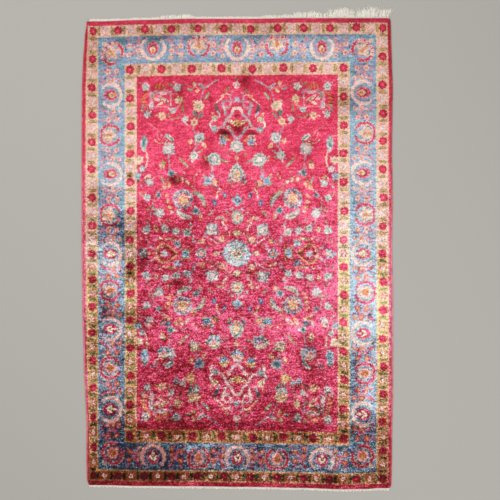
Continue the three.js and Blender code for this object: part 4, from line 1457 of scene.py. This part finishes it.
def cord_lines(node):
    """The frame's cord as lines of its inner and outer side and its height along the rug."""
    points = np.array([v.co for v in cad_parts[node].data.vertices])
    levels = np.unique(np.round(points[:, 1], 5))
    rings = [points[np.abs(points[:, 1] - level) < 2e-5] for level in levels]
    low = np.array([ring_points[:, 0].min() for ring_points in rings])
    high = np.array([ring_points[:, 0].max() for ring_points in rings])
    tall = np.array([ring_points[:, 2].max() for ring_points in rings])
    return levels, low, high, tall


def overcast_cord(node, name, sign):
    levels, low, high, tall = cord_lines(node)
    inner, outer = (low, high) if sign > 0 else (high, low)
    steps = int((levels[-1] - levels[0]) / (TURN_LENGTH * MM) * STEPS_A_TURN)
    y = np.linspace(levels[0], levels[-1], steps + 1)
    start = np.interp(y, levels, inner)[:, None]
    width = (np.interp(y, levels, outer) - np.interp(y, levels, inner))[:, None]
    tallness = np.interp(y, levels, tall)[:, None]
    cross = np.array(CORD_CROSS)
    numbers = np.random.default_rng(41 if sign > 0 else 42)
    turns = np.sin(2 * math.pi * np.arange(steps + 1) / STEPS_A_TURN + 0.5)[:, None]
    relief = TURN_RELIEF * MM * (0.5 * turns - 0.5 + 0.25 * numbers.uniform(-1, 1, (steps + 1, 1)))
    relief = relief * np.where(cross[:, 1] > 0.05, 1, 0)
    x = start + width * cross[:, 0] + np.sign(width) * relief * (cross[:, 0] - 0.4)
    slant = 1.1 * MM * (cross[:, 0] - 0.5)
    z = tallness * cross[:, 1] + relief * cross[:, 1]
    points = np.stack([x, y[:, None] + slant * np.ones_like(x), z], axis=-1)
    points[0, :, 1] = y[0]
    points[-1, :, 1] = y[-1]
    sides = len(cross)
    index = np.arange((steps + 1) * sides).reshape(steps + 1, sides)
    a, b = index[:-1], np.roll(index, -1, axis=1)[:-1]
    c, d = np.roll(index, -1, axis=1)[1:], index[1:]
    quads = np.stack([a, d, c, b], axis=-1).reshape(-1, 4)
    caps = [index[0], index[-1][::-1]]
    if sign > 0:
        quads = quads[:, ::-1]
        caps = [cap[::-1] for cap in caps]
    smooth = np.concatenate([np.ones(len(quads)), np.zeros(2)])
    cord = make_mesh(name, points.reshape(-1, 3), [quads, np.array(caps)], overcast_finish, smooth)
    tones = CORD_TONES[node]
    tone_y = [at for at, tone in tones]
    tone_rgb = np.array([tone for at, tone in tones], float)
    along_cord = (y - MIDDLE_Y) / MM
    base = np.stack([np.interp(along_cord, tone_y, tone_rgb[:, channel]) for channel in range(3)], -1)
    worn = np.repeat(numbers.normal(0, 1, (steps // 12 + 2, 1)), 12, axis=0)[: steps + 1]
    # Painted shade: the sunken part of each turn is darker by a fixed amount.
    base = base + 7 * worn + 9 * numbers.normal(0, 1, (steps + 1, 1)) - 20 * (turns < -0.4)
    paint(cord, "POINT", to_linear(np.repeat(base, sides, axis=0)))
    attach(cord, "root")
    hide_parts(node)
    return cord


cords = [
    overcast_cord("selvedge_left", "overcast_left", -1),
    overcast_cord("selvedge_right", "overcast_right", 1),
]
print("cord triangles", [triangles(cord) for cord in cords])

# %% [markdown]
# The end strips and the fringe
#
# Beyond the pile each end has a few rows of plain cotton weave, and out of it run the warps, cut loose. The
# long fringe lies in wavy tufts that lean over each other, whole at the right and worn short at the left.
# The other end has only a stubble. Each thread is a thin three-sided strand along its own bent line.

# %% End strips
STRIP_STEP = 6.0
STRIP_CROSS = [(0.0, 0.0), (1.0, 0.0), (1.0, 0.75), (0.66, 0.95), (0.34, 1.0), (0.0, 0.95)]
COTTON_TONES = ((214, 194, 166), (255, 252, 242))


def strip_reach(node, sign, edge):
    """The strip's inner and outer line and, for the fringe, how far its locks reach, from the frame."""
    points = np.array([v.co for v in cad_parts[node].data.vertices])
    bins = np.linspace(points[:, 0].min(), points[:, 0].max(), 90)
    middles = (bins[1:] + bins[:-1]) / 2
    far = [
        (sign * points[(points[:, 0] >= a) & (points[:, 0] <= b), 1]).max() for a, b in zip(bins, bins[1:])
    ]
    near = sign * edge(middles)
    return points[:, 0].min(), points[:, 0].max(), lambda x: np.interp(x, middles, np.array(far) - near)


GAP = 0.3 * MM
STRIP_WIDTH = 3.4 * MM
STRIP_HEIGHT = 2.6 * MM


def end_strip(node, name, sign, edge):
    low, high, _ = strip_reach(node, sign, edge)
    count = int((high - low) / (STRIP_STEP * MM))
    x = np.linspace(low, high, count + 1)[:, None]
    cross = np.array(STRIP_CROSS)
    numbers = np.random.default_rng(51 if sign > 0 else 52)
    uneven = 1 + 0.12 * numbers.uniform(-1, 1, (count + 1, 1))
    y = edge(x) + sign * (GAP + STRIP_WIDTH * cross[:, 0] * uneven)
    z = STRIP_HEIGHT * cross[:, 1] * (1 - 0.1 * numbers.uniform(0, 1, (count + 1, 1)))
    points = np.stack([np.broadcast_to(x, y.shape), y, z], axis=-1)
    sides = len(cross)
    index = np.arange((count + 1) * sides).reshape(count + 1, sides)
    a, b = index[:-1], np.roll(index, -1, axis=1)[:-1]
    c, d = np.roll(index, -1, axis=1)[1:], index[1:]
    quads = np.stack([a, b, c, d], axis=-1).reshape(-1, 4)
    caps = [index[0][::-1], index[-1]]
    if sign > 0:
        quads = quads[:, ::-1]
        caps = [cap[::-1] for cap in caps]
    smooth = np.concatenate([np.ones(len(quads)), np.zeros(2)])
    strip = make_mesh(name, points.reshape(-1, 3), [quads, np.array(caps)], cotton_finish, smooth)
    tone = numbers.uniform(0.6, 1.0, ((count + 1) * sides, 1))
    paint(strip, "POINT", to_linear(COTTON_TONES[0] + (np.array(COTTON_TONES[1]) - COTTON_TONES[0]) * tone))
    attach(strip, "root")
    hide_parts(node)
    return strip


# %% Fringe
STRAND_STEPS = 4
SHORTEST = 11 * MM


def fringe(node, name, sign, edge, count, radius, swing, seed):
    low, high, reach_at = strip_reach(node, sign, edge)
    numbers = np.random.default_rng(seed)
    root_x = np.linspace(low + 3 * MM, high - 3 * MM, count) + numbers.uniform(-0.6, 0.6, count) * MM
    tuft_count = max(8, count // 9)
    tuft = (np.arange(count) * tuft_count // count) + numbers.integers(-1, 2, count)
    tuft = np.clip(tuft, 0, tuft_count - 1)
    tuft_lean = numbers.normal(0, 1, tuft_count)[tuft]
    tuft_bend = numbers.normal(0, 1, tuft_count)[tuft]
    tuft_length = numbers.uniform(0.84, 1.12, tuft_count)[tuft]
    reach = np.maximum(reach_at(root_x) - GAP - STRIP_WIDTH, SHORTEST)
    length = reach * tuft_length * numbers.uniform(0.74, 1.04, count)
    length = np.minimum(length, reach * 1.06)
    t = np.linspace(0, 1, STRAND_STEPS + 1)[None, :]
    sway = (tuft_lean * 0.34 + numbers.normal(0, 0.22, count))[:, None] * t
    wave_turns = numbers.uniform(0.5, 1.3, count)[:, None]
    wave_start = numbers.uniform(0, 6, count)[:, None]
    wave = 0.1 * tuft_bend[:, None] * np.sin(wave_turns * 2 * math.pi * t + wave_start)
    wave = (wave - wave[:, :1]) * t
    sideways = swing * length[:, None] * (sway + wave)
    x = root_x[:, None] + sideways
    y = edge(root_x)[:, None] + sign * (GAP + STRIP_WIDTH - 1.5 * MM + length[:, None] * t)
    lift = numbers.uniform(0.15, 1.0, count)[:, None] * (1 - 0.6 * t) + 0.3 * np.sin(math.pi * t)
    z = radius * MM + 1.7 * MM * np.clip(lift, 0, 1)
    thick = radius * MM * (1 - 0.4 * t) * numbers.uniform(0.8, 1.2, count)[:, None]
    angles = np.radians([270, 30, 150])
    ring_x = x[..., None] + thick[..., None] * np.cos(angles)
    ring_z = np.maximum(z[..., None] + thick[..., None] * np.sin(angles), 0.0)
    ring_y = np.broadcast_to(y[..., None], ring_x.shape)
    points = np.stack([ring_x, ring_y, ring_z], axis=-1).reshape(-1, 3)
    index = np.arange(count * (STRAND_STEPS + 1) * 3).reshape(count, STRAND_STEPS + 1, 3)
    a, b = index[:, :-1], np.roll(index, -1, axis=2)[:, :-1]
    c, d = np.roll(index, -1, axis=2)[:, 1:], index[:, 1:]
    quads = np.stack([a, b, c, d], axis=-1).reshape(-1, 4)
    caps = np.concatenate([index[:, 0, ::-1], index[:, -1]])
    if sign > 0:
        quads, caps = quads[:, ::-1], caps[:, ::-1]
    smooth = np.concatenate([np.ones(len(quads)), np.zeros(len(caps))])
    piece = make_mesh(name, points, [quads, caps], cotton_finish, smooth)
    tone = np.clip(numbers.normal(0.94, 0.1, count), 0, 1)[:, None] - 0.16 * (1 - t)
    tone = np.clip(tone, 0, 1)[..., None]
    colours = COTTON_TONES[0] + (np.array(COTTON_TONES[1]) - COTTON_TONES[0]) * tone
    paint(piece, "POINT", to_linear(np.repeat(colours, 3, axis=1).reshape(-1, 3)))
    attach(piece, "root")
    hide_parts(node)
    return piece


strips = [
    end_strip("fringe_top", "end_strip_top", 1, top_edge),
    end_strip("fringe_bottom", "end_strip_bottom", -1, bottom_edge),
]
fringes = [
    fringe("fringe_top", "fringe_long", 1, top_edge, 1500, 1.0, 1.0, 61),
    fringe("fringe_bottom", "fringe_worn", -1, bottom_edge, 1300, 1.0, 0.5, 62),
]
print("strip triangles", [triangles(s) for s in strips], "fringe triangles", [triangles(f) for f in fringes])

# %% [markdown]
# The sheet's pieces and their triangles
#
# The ground weave is the cloth itself, laid flat, and the pile, cords, strips and fringes go with it. Its
# flat size is the body's own, because nothing stretches it. This cell only counts the triangles of all these
# pieces.

total = sum(triangles(piece) for piece in [ground, *pile, *cords, *strips, *fringes])
print("triangles in all", total)
